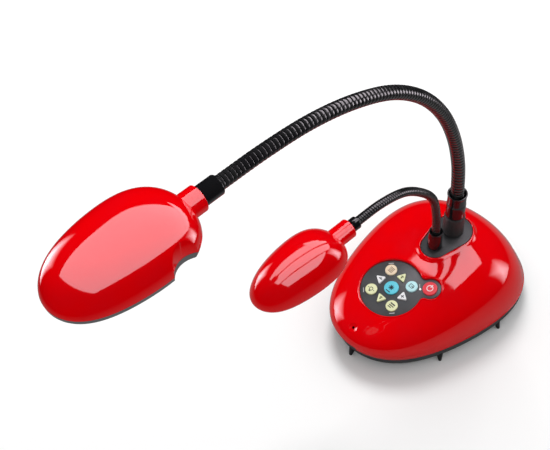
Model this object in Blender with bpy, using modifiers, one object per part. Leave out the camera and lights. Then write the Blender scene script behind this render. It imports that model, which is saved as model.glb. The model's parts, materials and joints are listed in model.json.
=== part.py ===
"""Document camera: egg-shaped base with a keypad, a gooseneck camera head and a gooseneck lamp.

Metres, +Z up, +Y to the back. The origin is on the table, under the middle of the object's box.
"""

import math
from collections import namedtuple

import bmesh
import bpy
from mathutils import Matrix, Vector

# An egg outline: half length, reference half width, and how its width grows towards +Y.
Egg = namedtuple("Egg", "half_length half_width taper fullness")
# A key: its distance and direction from the keypad's middle, size, corners (0 is round), colour.
Key = namedtuple("Key", "name radius angle size corners colour")
# A connector in the back: its middle, outer size, depth and the opening in its face.
Port = namedtuple("Port", "name x width height depth open_width open_height")
# A chip on a board: its middle, width, depth and height.
Chip = namedtuple("Chip", "x y width depth height")

# ---- Driving dimensions, in metres ------------------------------------------------------------
OVERALL_LENGTH = 0.500
GAP = 0.0003
CLEARANCE = 0.0004

BASE_EGG = Egg(0.0981, 0.0717, 0.20, 0.205)
BASE_Y = OVERALL_LENGTH / 2 - BASE_EGG.half_length
BASE_EDGE_Z = 0.0184
BASE_RISE = 0.0504
BASE_LEAN = 0.021
BASE_SLOPE = 0.226
BASE_WALL = 0.0022
TRAY_INSET = 0.0009
TRAY_DEPTH = 0.0112
TRAY_FLOOR = BASE_EDGE_Z - GAP - TRAY_DEPTH
FOOT_ANGLES = (-90.0, -155.0, -25.0, 164.5, 15.5)
FOOT_INSETS = (0.0019, 0.0050)
FOOT_RADII = (0.0016, 0.0037)
FOOT_TOP = 0.0110
SIDE_SLOT = (0.0096, 0.0036)
SIDE_SLOT_ANGLE = math.radians(33.0)

BALLAST_THICKNESS = 0.0080
BALLAST_SHARE = 0.74
SCREW_PLACES = ((-0.036, 0.125), (0.036, 0.125), (-0.036, 0.195), (0.036, 0.195))
SCREW_RADIUS = 0.0035
SCREW_HEIGHT = 0.0018
BOARD_THICKNESS = 0.0016
MAIN_BOARD_Z = 0.0255
MAIN_BOARD_SHARE = 0.62
MAIN_BOARD_BACK = 0.012
CHIPS = (
    Chip(0.0, 0.165, 0.018, 0.018, 0.0022),
    Chip(-0.022, 0.150, 0.010, 0.010, 0.0030),
    Chip(0.021, 0.146, 0.012, 0.008, 0.0020),
)
PORT_Z = 0.0340
PORT_WALL = 0.0015
PORTS = (
    Port("power_jack", -0.024, 0.0100, 0.0110, 0.0125, 0.0064, 0.0064),
    Port("usb_port", 0.0, 0.0122, 0.0112, 0.0160, 0.0086, 0.0078),
    Port("video_port", 0.026, 0.0240, 0.0110, 0.0140, 0.0180, 0.0060),
)
MIC_HOLE_RADIUS = 0.0011
MIC_HOLE_Y = BASE_Y - 0.0934
MIC_RADIUS = 0.0030
MIC_PLACE = (0.0, BASE_Y - 0.0890, 0.0300)

BAY_X = (-0.024, 0.012)
BAY_HEIGHT = 0.0090
BAY_INSETS = (0.0012, 0.0100)

KEYPAD_CENTRE = (0.0, BASE_Y - 0.047, 0.0561)
KEYPAD_TILT = math.radians(13.5)
KEYPAD_RADIUS = 0.0287
LOBE_CENTRE = (0.0270, 0.0223)
LOBE_RADIUS = 0.0100
LOBE_FILLET = 0.0050
PANEL_THICKNESS = 0.0020
KEYPAD_BOARD_LOW = -0.0072
KEY_TOP = 0.0014
KEY_CHAMFER = (0.0004, 0.0003)
KEY_FLANGE = (-0.0034, -0.0025, 0.0009)
KEY_CORNER = 0.0009
KEY_TRAVEL = 0.0010
SWITCH_RADIUS = 0.0024
LED_PLACE = (0.0204, 0.0163)
LED_RADIUS = 0.0010

ARM_PLATE_TILT = math.radians(5.7)
MAIN_FOOT = Vector((0.0, BASE_Y + 0.0318, 0.0731))
LAMP_FOOT = Vector((0.0, BASE_Y + 0.0076, 0.0707))
PLATE_RADII = (0.0180, 0.0127)
PLATE_THICKNESS = 0.0055
ARM_BORE = 0.0050
LAMP_BORE = 0.0034
SLEEVE_RADIUS = 0.0097
SLEEVE_LENGTH = 0.0220
ARM_RIM_HEIGHT = 0.0529
LAMP_RIM_HEIGHT = 0.0216

NECK_RADIUS = 0.0062
NECK_BORE = 0.0034
NECK_LINKS = 9
NECK_ROUTE = (
    (0.1836, 0.1225),
    (0.1800, 0.1630),
    (0.1680, 0.2113),
    (0.1404, 0.2676),
    (0.0943, 0.3170),
    (0.0276, 0.3476),
    (-0.0352, 0.3559),
    (-0.0955, 0.3550),
)

LAMP_NECK_RADIUS = 0.00405
LAMP_NECK_BORE = 0.0020
LAMP_LINKS = 6
LAMP_ROUTE = (
    (0.1595, 0.0895),
    (0.1570, 0.1169),
    (0.1484, 0.1467),
    (0.1203, 0.1781),
    (0.0905, 0.1912),
    (0.0528, 0.1919),
)

HEAD_JOINT = Vector((0.0, -0.1127, 0.3539))
HEAD_PITCH = math.radians(2.8)
HEAD_EGG = Egg(0.0637, 0.0396, 0.116, 0.217)
HEAD_NECK = 0.0102
HEAD_SEAM = -0.0025
HEAD_RISE = 0.0312
HEAD_WALL = 0.0020
COVER_DEPTH = 0.0055
COLLAR_RADIUS = 0.0110
NOTCH_RADIUS = 0.0180
NOTCH_CENTRE = (0.0535, 0.0343)
HEAD_FLOOR = HEAD_SEAM - GAP - COVER_DEPTH
COVER_WALL = 0.0016
LENS_AHEAD = 0.0140
LENS_RADIUS = 0.0057
BARREL_RADIUS = 0.0108
RING_RADIUS = 0.0205
RING_HEIGHT = 0.0072
SENSOR_BOARD = (0.0300, 0.0085)
SENSOR_CHIP = (0.0090, 0.0032)
HEAD_SCREWS = (-0.024, 0.024)
FERRULE_RADIUS = 0.0085
FERRULE_LENGTH = 0.0180

LAMP_JOINT = Vector((0.0, 0.0448, 0.1912))
LAMP_PITCH = math.radians(3.5)
LAMP_EGG = Egg(0.0473, 0.0259, 0.131, 0.238)
LAMP_NECK = 0.0118
LAMP_SEAM = -0.0060
LAMP_RISE = 0.0300
LAMP_DROP = 0.0090
LAMP_OPENING = 0.0065
LAMP_WALL = 0.0018
LAMP_FLOOR = LAMP_SEAM - LAMP_OPENING
LAMP_COLLAR_RADIUS = 0.0087
LAMP_FERRULE_RADIUS = 0.0057
LAMP_FERRULE_LENGTH = 0.0088
BEZEL_SHARES = (0.77, 0.69)
DIFFUSER_SHARE = 0.675
LED_BOARD_SHARE = 0.70
LED_GRID = (0.007, 0.014)
LED_SIZE = 0.0036

KEYS = (
    Key("key_centre", 0.0, 0.0, 0.00675, 0, "cyan"),
    Key("key_source", 0.0184, 45.0, 0.0055, 0, "pale_cyan"),
    Key("key_menu", 0.0184, 135.0, 0.0055, 0, "cream"),
    Key("key_lamp", 0.0184, 225.0, 0.0055, 0, "pale_yellow"),
    Key("key_auto", 0.0184, 315.0, 0.0055, 0, "pale_yellow"),
    Key("key_right", 0.0139, 0.0, 0.0056, 3, "key_white"),
    Key("key_up", 0.0139, 90.0, 0.0056, 3, "pale_yellow"),
    Key("key_left", 0.0139, 180.0, 0.0056, 3, "key_white"),
    Key("key_down", 0.0139, 270.0, 0.0056, 3, "pale_yellow"),
    Key("key_power", 0.03502, 39.55, 0.00675, 0, "key_red"),
)

# Base colour, roughness, metallic.
FINISHES = {
    "gloss_red": ((0.72, 0.004, 0.010), 0.08, 0.0),
    "matte_black": ((0.030, 0.032, 0.034), 0.55, 0.0),
    "gloss_black": ((0.008, 0.008, 0.009), 0.12, 0.0),
    "neck_black": ((0.012, 0.012, 0.013), 0.25, 0.3),
    "rubber": ((0.015, 0.015, 0.016), 0.80, 0.0),
    "grey_cover": ((0.16, 0.165, 0.17), 0.50, 0.0),
    "panel_grey": ((0.085, 0.088, 0.095), 0.45, 0.0),
    "cyan": ((0.25, 0.82, 0.92), 0.45, 0.0),
    "pale_cyan": ((0.68, 0.92, 0.94), 0.45, 0.0),
    "cream": ((0.92, 0.84, 0.70), 0.45, 0.0),
    "pale_yellow": ((0.88, 0.92, 0.60), 0.45, 0.0),
    "key_white": ((0.90, 0.90, 0.92), 0.45, 0.0),
    "key_red": ((0.92, 0.08, 0.11), 0.40, 0.0),
    "steel": ((0.55, 0.56, 0.58), 0.30, 1.0),
    "board_green": ((0.02, 0.16, 0.07), 0.45, 0.0),
    "lens_glass": ((0.05, 0.06, 0.10), 0.03, 0.0),
    "diffuser": ((0.92, 0.92, 0.90), 0.50, 0.0),
}


# ---- Scene and material helpers ---------------------------------------------------------------
def clear_scene():
    """Remove everything that the file holds and make the two collections."""
    for obj in list(bpy.data.objects):
        bpy.data.objects.remove(obj, do_unlink=True)
    for name in ("document_camera", "cutters"):
        if name not in bpy.data.collections:
            bpy.context.scene.collection.children.link(bpy.data.collections.new(name))


def finish(name):
    """Material with the named finish, made once."""
    if name in bpy.data.materials:
        return bpy.data.materials[name]
    colour, roughness, metallic = FINISHES[name]
    material = bpy.data.materials.new(name)
    material.use_nodes = True
    shader = material.node_tree.nodes["Principled BSDF"]
    shader.inputs["Base Color"].default_value = (*colour, 1.0)
    shader.inputs["Roughness"].default_value = roughness
    shader.inputs["Metallic"].default_value = metallic
    return material


def add_object(name, mesh, material, parent=None, matrix=None):
    """Link a mesh as a named piece; matrix places it in its parent's frame."""
    obj = bpy.data.objects.new(name, mesh)
    bpy.data.collections["document_camera"].objects.link(obj)
    mesh.materials.append(finish(material))
    obj.parent = parent
    obj.matrix_local = matrix or Matrix.Identity(4)
    return obj


def add_cutter(name, mesh, parent=None, matrix=None):
    """Link a mesh as a hidden cutting body."""
    obj = bpy.data.objects.new("cut_" + name, mesh)
    bpy.data.collections["cutters"].objects.link(obj)
    obj.hide_render = True
    obj.display_type = "WIRE"
    obj.parent = parent
    obj.matrix_local = matrix or Matrix.Identity(4)
    return obj


def add_empty(name, location, tilt):
    """Empty that carries a tilted group of pieces; tilt turns it about X."""
    obj = bpy.data.objects.new(name, None)
    bpy.data.collections["document_camera"].objects.link(obj)
    obj.location = location
    obj.rotation_euler = (tilt, 0.0, 0.0)
    bpy.context.view_layer.update()
    return obj


def boolean(target, other, operation="DIFFERENCE"):
    """Cut, join or intersect target with another body, keeping the modifier on it."""
    modifier = target.modifiers.new(other.name, "BOOLEAN")
    modifier.solver = "EXACT"
    modifier.operation = operation
    modifier.object = other


def bevel(obj, width, segments=1):
    """Round the sharp edges of a piece."""
    modifier = obj.modifiers.new("edge", "BEVEL")
    modifier.width = width
    modifier.segments = segments
    modifier.limit_method = "ANGLE"
    modifier.angle_limit = math.radians(40)
    modifier.harden_normals = False


def at(x, y, z):
    """Matrix that moves a piece to a place in its parent's frame."""
    return Matrix.Translation((x, y, z))


def mesh_from(bm, name, smooth_degrees=35.0):
    """Turn a bmesh into a smooth-shaded mesh with sharp edges kept."""
    bmesh.ops.recalc_face_normals(bm, faces=bm.faces)
    mesh = bpy.data.meshes.new(name)
    bm.to_mesh(mesh)
    bm.free()
    mesh.shade_smooth()
    mesh.set_sharp_from_angle(angle=math.radians(smooth_degrees))
    return mesh


# ---- Shape helpers ----------------------------------------------------------------------------
def box_mesh(name, low, high):
    """Box between two corners."""
    bm = bmesh.new()
    bmesh.ops.create_cube(bm, size=1.0)
    size = [b - a for a, b in zip(low, high)]
    centre = [(a + b) / 2 for a, b in zip(low, high)]
    bmesh.ops.scale(bm, vec=size, verts=bm.verts)
    bmesh.ops.translate(bm, vec=centre, verts=bm.verts)
    return mesh_from(bm, name)


def cylinder_mesh(name, radius, low, high, segments=32, top_radius=None):
    """Upright cylinder or cone between two heights."""
    bm = bmesh.new()
    bmesh.ops.create_cone(
        bm,
        cap_ends=True,
        segments=segments,
        radius1=radius,
        radius2=radius if top_radius is None else top_radius,
        depth=high - low,
    )
    bmesh.ops.translate(bm, vec=(0.0, 0.0, (low + high) / 2), verts=bm.verts)
    return mesh_from(bm, name)


def turned_mesh(name, profile, steps=32, closed=True):
    """Turn a profile of (radius, height) about Z; its outer side runs from top to bottom.

    A closed profile goes round a wall, so the piece has a bore. An open one starts and ends
    on the axis.
    """
    mesh = bpy.data.meshes.new(name)
    points = [(radius, 0.0, height) for radius, height in profile]
    edges = [(i, i + 1) for i in range(len(points) - 1)]
    if closed:
        edges.append((len(points) - 1, 0))
    mesh.from_pydata(points, edges, [])
    raw = bpy.data.objects.new(name + "_profile", mesh)
    bpy.data.collections["cutters"].objects.link(raw)
    screw = raw.modifiers.new("turn", "SCREW")
    screw.steps = steps
    screw.render_steps = steps
    screw.use_merge_vertices = True
    screw.merge_threshold = 0.00001
    depsgraph = bpy.context.evaluated_depsgraph_get()
    turned = bpy.data.meshes.new_from_object(raw.evaluated_get(depsgraph))
    bpy.data.objects.remove(raw)
    bm = bmesh.new()
    bm.from_mesh(turned)
    bmesh.ops.remove_doubles(bm, verts=bm.verts, dist=0.00001)
    return mesh_from(bm, name)


def plate_mesh(name, outline, low, high):
    """Flat plate with the given outline between two heights."""
    curve = bpy.data.curves.new(name, "CURVE")
    curve.dimensions = "2D"
    curve.fill_mode = "BOTH"
    curve.extrude = (high - low) / 2
    spline = curve.splines.new("POLY")
    spline.points.add(len(outline) - 1)
    for point, (x, y) in zip(spline.points, outline):
        point.co = (x, y, 0.0, 1.0)
    spline.use_cyclic_u = True
    raw = bpy.data.objects.new(name + "_outline", curve)
    bpy.data.collections["cutters"].objects.link(raw)
    depsgraph = bpy.context.evaluated_depsgraph_get()
    flat = bpy.data.meshes.new_from_object(raw.evaluated_get(depsgraph))
    bpy.data.objects.remove(raw)
    bm = bmesh.new()
    bm.from_mesh(flat)
    bmesh.ops.remove_doubles(bm, verts=bm.verts, dist=0.00001)
    bmesh.ops.dissolve_limit(bm, angle_limit=0.001, verts=bm.verts, edges=bm.edges)
    bmesh.ops.translate(bm, vec=(0.0, 0.0, (low + high) / 2), verts=bm.verts)
    return mesh_from(bm, name)


def dome_mesh(name, place, segments, rings, skirt=0.0):
    """Closed solid from a unit hemisphere whose points move to place(rho, angle).

    The rim is drawn out by skirt along Z and capped flat.
    """
    bm = bmesh.new()
    bmesh.ops.create_uvsphere(bm, u_segments=segments, v_segments=2 * rings, radius=1.0)
    lower = [vert for vert in bm.verts if vert.co.z < -1e-5]
    bmesh.ops.delete(bm, geom=lower, context="VERTS")
    for vert in bm.verts:
        rho = 1.0 if vert.co.z < 1e-5 else math.hypot(vert.co.x, vert.co.y)
        vert.co = place(rho, math.atan2(vert.co.y, vert.co.x))
    rim = [edge for edge in bm.edges if edge.is_boundary]
    if skirt:
        drawn = bmesh.ops.extrude_edge_only(bm, edges=rim)["geom"]
        moved = [part for part in drawn if isinstance(part, bmesh.types.BMVert)]
        bmesh.ops.translate(bm, vec=(0.0, 0.0, skirt), verts=moved)
        rim = [edge for edge in bm.edges if edge.is_boundary]
    bmesh.ops.contextual_create(bm, geom=rim)
    return mesh_from(bm, name)


def egg_point(egg, angle, inset=0.0, scale=1.0):
    """Point of an egg outline about its centre, moved in by inset."""
    t = math.sin(angle)
    width = (egg.half_width - inset) * (1 + egg.taper * t + egg.fullness * t * t)
    return Vector((scale * width * math.cos(angle), scale * (egg.half_length - inset) * t))


def egg_outline(egg, inset=0.0, scale=1.0, count=48, centre_y=0.0):
    """Closed outline of an egg."""
    points = [egg_point(egg, 2 * math.pi * i / count, inset, scale) for i in range(count)]
    return [(x, y + centre_y) for x, y in points]


def arc(centre, radius, start, end, count):
    """Points of an arc between two angles in degrees, ends included."""
    angles = [math.radians(start + (end - start) * i / (count - 1)) for i in range(count)]
    return [(centre[0] + radius * math.cos(a), centre[1] + radius * math.sin(a)) for a in angles]


def smooth_route(points, samples=40):
    """Fine points of a smooth curve through (y, z) points."""
    knots = [Vector(p) for p in points]
    knots = [2 * knots[0] - knots[1], *knots, 2 * knots[-1] - knots[-2]]
    route = []
    for a, b, c, d in zip(knots, knots[1:], knots[2:], knots[3:]):
        for i in range(samples):
            t = i / samples
            cubic = (3 * b - a - 3 * c + d) * t**3
            route.append((2 * b + (c - a) * t + (2 * a - 5 * b + 4 * c - d) * t * t + cubic) / 2)
    route.append(knots[-2])
    return route


def even_points(points, count):
    """Ends and equally spaced points along the smooth route, count pieces in all."""
    route = smooth_route(points)
    lengths = [0.0]
    for a, b in zip(route, route[1:]):
        lengths.append(lengths[-1] + (b - a).length)
    result = []
    for i in range(count + 1):
        target = lengths[-1] * i / count
        k = next(j for j in range(1, len(route)) if lengths[j] >= target - 1e-9)
        share = (target - lengths[k - 1]) / (lengths[k] - lengths[k - 1])
        place = route[k - 1].lerp(route[k], share)
        result.append(Vector((0.0, place.x, place.y)))
    return result


def along(start, end):
    """Matrix at start whose Z axis points to end; both lie in the plane x = 0."""
    run = end - start
    heading = math.atan2(-run.y, run.z)
    return Matrix.Translation(start) @ Matrix.Rotation(heading, 4, "X")


# ---- Base -------------------------------------------------------------------------------------
def base_dome_point(rho, angle, inset):
    """Point of the base's dome, which leans forward and rises to the back."""
    profile = (1 - rho**3.7) ** (1 / 2.05)
    x, y = egg_point(BASE_EGG, angle, inset) * rho
    y -= BASE_LEAN * profile
    rise = (BASE_RISE - inset + BASE_SLOPE * y) * profile
    return Vector((x, BASE_Y + y, BASE_EDGE_Z + rise))


def tray_point(rho, angle, inset):
    """Point of the tray's bowl, flat below with a steep side."""
    profile = (1 - rho**60) ** (1 / 3)
    x, y = egg_point(BASE_EGG, angle, TRAY_INSET + inset) * rho
    return Vector((x, BASE_Y + y, BASE_EDGE_Z - GAP - (TRAY_DEPTH - inset) * profile))


def arc_from(centre, radius, first, last, turn, count):
    """Points after first on the arc to last; turn is 1 anticlockwise or -1 clockwise."""
    start = math.atan2(first[1] - centre[1], first[0] - centre[0])
    sweep = math.atan2(last[1] - centre[1], last[0] - centre[0]) - start
    sweep = turn * ((turn * sweep) % (2 * math.pi))
    angles = [math.degrees(start), math.degrees(start + sweep)]
    return arc(centre, radius, *angles, count)[1:]


def keypad_outline(grow=0.0):
    """Round keypad with a side lobe, joined by two fillets."""
    middle, lobe_centre = Vector((0.0, 0.0)), Vector(LOBE_CENTRE)
    radius, lobe, fillet = KEYPAD_RADIUS + grow, LOBE_RADIUS + grow, LOBE_FILLET - grow
    near, far, distance = radius + fillet, lobe + fillet, lobe_centre.length
    swing = math.acos((distance**2 + near**2 - far**2) / (2 * distance * near))
    towards = math.atan2(lobe_centre.y, lobe_centre.x)
    sides = []
    for turn in (towards - swing, towards + swing):
        centre = near * Vector((math.cos(turn), math.sin(turn)))
        on_round = centre * radius / near
        on_lobe = lobe_centre + (centre - lobe_centre) * lobe / far
        sides.append((centre, on_round, on_lobe))
    (low, low_round, low_lobe), (high, high_round, high_lobe) = sides
    outline = arc_from(middle, radius, high_round, low_round, 1, 40)
    outline += arc_from(low, fillet, low_round, low_lobe, -1, 6)
    outline += arc_from(lobe_centre, lobe, low_lobe, high_lobe, 1, 18)
    return outline + arc_from(high, fillet, high_lobe, high_round, -1, 6)


def plate_length():
    """Distance between the two arms' feet, along the arm plate."""
    return (MAIN_FOOT - LAMP_FOOT).length


def taper_outline(grow=0.0):
    """Tapered oval of the arm plate, in the plate's own plane, big end at the main arm."""
    big, small = PLATE_RADII[0] + grow, PLATE_RADII[1] + grow
    lean = math.degrees(math.asin((big - small) / plate_length()))
    outline = arc((0.0, 0.0), big, -lean, 180 + lean, 20)
    return outline + arc((0.0, -plate_length()), small, 180 + lean, 360 - lean, 14)


def front_points(inset, step):
    """Points of the base's front edge that lie between the ends of the bay."""
    points = []
    for degrees in range(210, 331, step):
        x, y = egg_point(BASE_EGG, math.radians(degrees), inset)
        if BAY_X[0] + CLEARANCE <= x <= BAY_X[1] - CLEARANCE:
            points.append((x, BASE_Y + y))
    return points


def bay_outline():
    """Strip that follows the front of the base between the ends of the bay."""
    outer, inner = BAY_INSETS
    return front_points(outer, 2) + front_points(inner, 4)[::-1]


def port_cutter(port):
    """Box through the back of the base for one connector."""
    y = BASE_Y + 0.060
    side, up = port.width / 2 + CLEARANCE, port.height / 2 + CLEARANCE
    low, high = (port.x - side, y, PORT_Z - up), (port.x + side, y + 0.060, PORT_Z + up)
    return add_cutter(port.name + "_hole", box_mesh(port.name + "_hole", low, high))


def port_face_y(x):
    """Y of the plane that a connector's face lies in, just inside the dome at its top edge."""
    return BASE_Y + BASE_EGG.half_length - 0.0160 - abs(x) * 0.30


def make_base(keypad, plate):
    """Everything in and under the base."""
    make_base_shell(keypad, plate)
    make_tray()
    make_bay()
    make_feet()
    make_ballast()
    make_main_board()
    for port in PORTS:
        make_port(port)
    capsule = cylinder_mesh("mic_capsule", MIC_RADIUS, 0.0, MIC_RADIUS, 16)
    add_object("mic_capsule", capsule, "steel", None, at(*MIC_PLACE))


def make_base_shell(keypad, plate):
    """Hollow dome, open for the keypad, arm plate, front bay, microphone and connectors."""
    outside = dome_mesh("base_shell", lambda r, a: base_dome_point(r, a, 0.0), 44, 10)
    shell = add_object("base_shell", outside, "gloss_red")
    hollow = dome_mesh("base_hollow", lambda r, a: base_dome_point(r, a, BASE_WALL), 44, 10, -0.004)
    boolean(shell, add_cutter("base_hollow", hollow))
    panel_hole = plate_mesh("panel_hole", keypad_outline(CLEARANCE), -0.008, 0.012)
    boolean(shell, add_cutter("panel_hole", panel_hole, keypad))
    plate_hole = plate_mesh("plate_hole", taper_outline(CLEARANCE), -0.010, 0.010)
    boolean(shell, add_cutter("plate_hole", plate_hole, plate))
    low = (BAY_X[0], BASE_Y - 0.115, BASE_EDGE_Z - 0.002)
    bay = box_mesh("bay", low, (BAY_X[1], BASE_Y - 0.080, BASE_EDGE_Z + BAY_HEIGHT))
    boolean(shell, add_cutter("bay", bay))
    mic = cylinder_mesh("mic_hole", MIC_HOLE_RADIUS, 0.033, 0.063, 10)
    boolean(shell, add_cutter("mic_hole", mic, None, at(0.0, MIC_HOLE_Y, 0.0)))
    for port in PORTS:
        boolean(shell, port_cutter(port))


def make_tray():
    """Bowl that closes the base from below, with a slot in its side."""
    outside = dome_mesh("base_tray", lambda r, a: tray_point(r, a, 0.0), 40, 8)
    tray = add_object("base_tray", outside, "matte_black")
    hollow = dome_mesh("tray_hollow", lambda r, a: tray_point(r, a, BASE_WALL), 40, 8, 0.004)
    boolean(tray, add_cutter("tray_hollow", hollow))
    width, height = SIDE_SLOT
    top = BASE_EDGE_Z - 3 * GAP
    slot = box_mesh("side_slot", (-0.008, -width / 2, top - height), (0.004, width / 2, top))
    edge = egg_point(BASE_EGG, SIDE_SLOT_ANGLE)
    ahead = egg_point(BASE_EGG, SIDE_SLOT_ANGLE + 0.01) - edge
    turn = Matrix.Rotation(math.atan2(-ahead.x, ahead.y), 4, "Z")
    boolean(tray, add_cutter("side_slot", slot, None, at(edge.x, BASE_Y + edge.y, 0.0) @ turn))


def make_bay():
    """Insert that fills the front bay."""
    top = BASE_EDGE_Z + BAY_HEIGHT - CLEARANCE
    body = plate_mesh("front_bay", bay_outline(), BASE_EDGE_Z, top)
    add_object("front_bay", body, "matte_black")


def make_feet():
    """Pointed rubber legs that splay out to the base's edge and fit the tray's underside."""
    around = dome_mesh("tray_room", lambda r, a: tray_point(r, a, -GAP), 40, 8, 0.004)
    tray_room = add_cutter("tray_room", around)
    for number, degrees in enumerate(FOOT_ANGLES, 1):
        tip, root = (egg_point(BASE_EGG, math.radians(degrees), inset) for inset in FOOT_INSETS)
        lean = (root - tip) / FOOT_TOP
        foot = cylinder_mesh("foot", FOOT_RADII[0], 0.0, FOOT_TOP, 18, FOOT_RADII[1])
        for vert in foot.vertices:
            vert.co.x += lean.x * vert.co.z
            vert.co.y += lean.y * vert.co.z
        piece = add_object(f"foot_{number}", foot, "rubber", None, at(tip.x, BASE_Y + tip.y, 0.0))
        boolean(piece, tray_room)


def make_ballast():
    """Steel plate on the tray's floor, with the heads of its four screws."""
    low = TRAY_FLOOR + BASE_WALL + GAP
    top = low + BALLAST_THICKNESS
    outline = egg_outline(BASE_EGG, scale=BALLAST_SHARE, centre_y=BASE_Y)
    ballast = add_object("ballast_plate", plate_mesh("ballast_plate", outline, low, top), "steel")
    bevel(ballast, 0.0008)
    for i, (x, y) in enumerate(SCREW_PLACES):
        head = cylinder_mesh("ballast_screw", SCREW_RADIUS, top - 0.001, top + SCREW_HEIGHT, 14)
        boolean(ballast, add_cutter(f"ballast_screw_{i}", head, None, at(x, y, 0.0)), "UNION")


def make_main_board():
    """Circuit board over the ballast, with its three biggest chips."""
    top = MAIN_BOARD_Z + BOARD_THICKNESS
    back = BASE_Y + MAIN_BOARD_BACK
    outline = egg_outline(BASE_EGG, scale=MAIN_BOARD_SHARE, count=32, centre_y=back)
    board = plate_mesh("main_board", outline, MAIN_BOARD_Z, top)
    piece = add_object("main_board", board, "board_green")
    for i, chip in enumerate(CHIPS):
        low = (chip.x - chip.width / 2, chip.y - chip.depth / 2, top - 0.0006)
        high = (chip.x + chip.width / 2, chip.y + chip.depth / 2, top + chip.height)
        boolean(piece, add_cutter(f"chip_{i}", box_mesh("chip", low, high)), "UNION")


def make_port(port):
    """Metal or plastic connector body with an open mouth."""
    face = port_face_y(port.x)
    side, up = port.width / 2, port.height / 2
    low = (port.x - side, face - port.depth, PORT_Z - up)
    body = box_mesh(port.name, low, (port.x + side, face, PORT_Z + up))
    piece = add_object(port.name, body, "gloss_black" if port.name == "power_jack" else "steel")
    side, up = port.open_width / 2, port.open_height / 2
    low = (port.x - side, face - port.depth + PORT_WALL, PORT_Z - up)
    mouth = box_mesh(port.name + "_mouth", low, (port.x + side, face + 0.001, PORT_Z + up))
    boolean(piece, add_cutter(port.name + "_mouth", mouth))


# ---- Keypad -----------------------------------------------------------------------------------
def key_outline(key, grow=0.0):
    """Circle, or triangle with round corners that points away from the keypad's middle."""
    if key.corners == 0:
        return arc((0.0, 0.0), key.size + grow, 0, 360 - 360 / 16, 16)
    reach = key.size - 2 * KEY_CORNER
    outline = []
    for i in range(key.corners):
        turn = key.angle + i * 360 / key.corners
        centre = (reach * math.cos(math.radians(turn)), reach * math.sin(math.radians(turn)))
        outline += arc(centre, KEY_CORNER + grow, turn - 60, turn + 60, 4)
    return outline


def key_place(key):
    """Matrix of the key's own origin in the keypad's frame."""
    turn = math.radians(key.angle)
    return at(key.radius * math.cos(turn), key.radius * math.sin(turn), 0.0)


def key_mesh(key):
    """Cap with a small top chamfer and a wider flange that keeps it under the panel."""
    flange_low, flange_top, flange_grow = KEY_FLANGE
    inward, down = KEY_CHAMFER
    levels = (
        (flange_low, flange_grow),
        (flange_top, flange_grow),
        (flange_top, 0.0),
        (KEY_TOP - down, 0.0),
        (KEY_TOP, -inward),
    )
    bm = bmesh.new()
    rings = [[bm.verts.new((x, y, z)) for x, y in key_outline(key, grow)] for z, grow in levels]
    bm.faces.new(rings[0])
    bm.faces.new(rings[-1])
    for low, high in zip(rings, rings[1:]):
        for i in range(len(low)):
            j = (i + 1) % len(low)
            bm.faces.new((low[i], low[j], high[j], high[i]))
    return mesh_from(bm, key.name)


def make_keypad(keypad):
    """Panel, keys, switch board and indicator, in the keypad's tilted frame."""
    panel_mesh = plate_mesh("keypad_panel", keypad_outline(), -PANEL_THICKNESS, 0.0)
    panel = add_object("keypad_panel", panel_mesh, "panel_grey", keypad)
    board_top = KEYPAD_BOARD_LOW + BOARD_THICKNESS
    board_mesh = plate_mesh("keypad_board", keypad_outline(-0.0012), KEYPAD_BOARD_LOW, board_top)
    board = add_object("keypad_board", board_mesh, "board_green", keypad)
    switch_top = KEY_FLANGE[0] - KEY_TRAVEL - GAP
    for key in KEYS:
        place = key_place(key)
        add_object(key.name, key_mesh(key), key.colour, keypad, place)
        hole = plate_mesh(key.name + "_hole", key_outline(key, CLEARANCE), -0.004, 0.002)
        boolean(panel, add_cutter(key.name + "_hole", hole, keypad, place))
        switch = cylinder_mesh(key.name + "_switch", SWITCH_RADIUS, board_top - 0.0004, switch_top, 10)
        boolean(board, add_cutter(key.name + "_switch", switch, keypad, place), "UNION")
    make_power_led(keypad, panel, board_top)


def make_power_led(keypad, panel, board_top):
    """Small round light beside the power key, in its own hole."""
    place = at(*LED_PLACE, 0.0)
    hole = cylinder_mesh("power_led_hole", LED_RADIUS + CLEARANCE, -0.004, 0.002, 14)
    boolean(panel, add_cutter("power_led_hole", hole, keypad, place))
    foot = board_top + 2 * GAP
    profile = ((0.0, 0.0006), (0.0006, 0.0005), (LED_RADIUS, 0.0), (LED_RADIUS, foot), (0.0, foot))
    lens = turned_mesh("power_led", profile, 14, False)
    add_object("power_led", lens, "diffuser", keypad, place)


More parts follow.
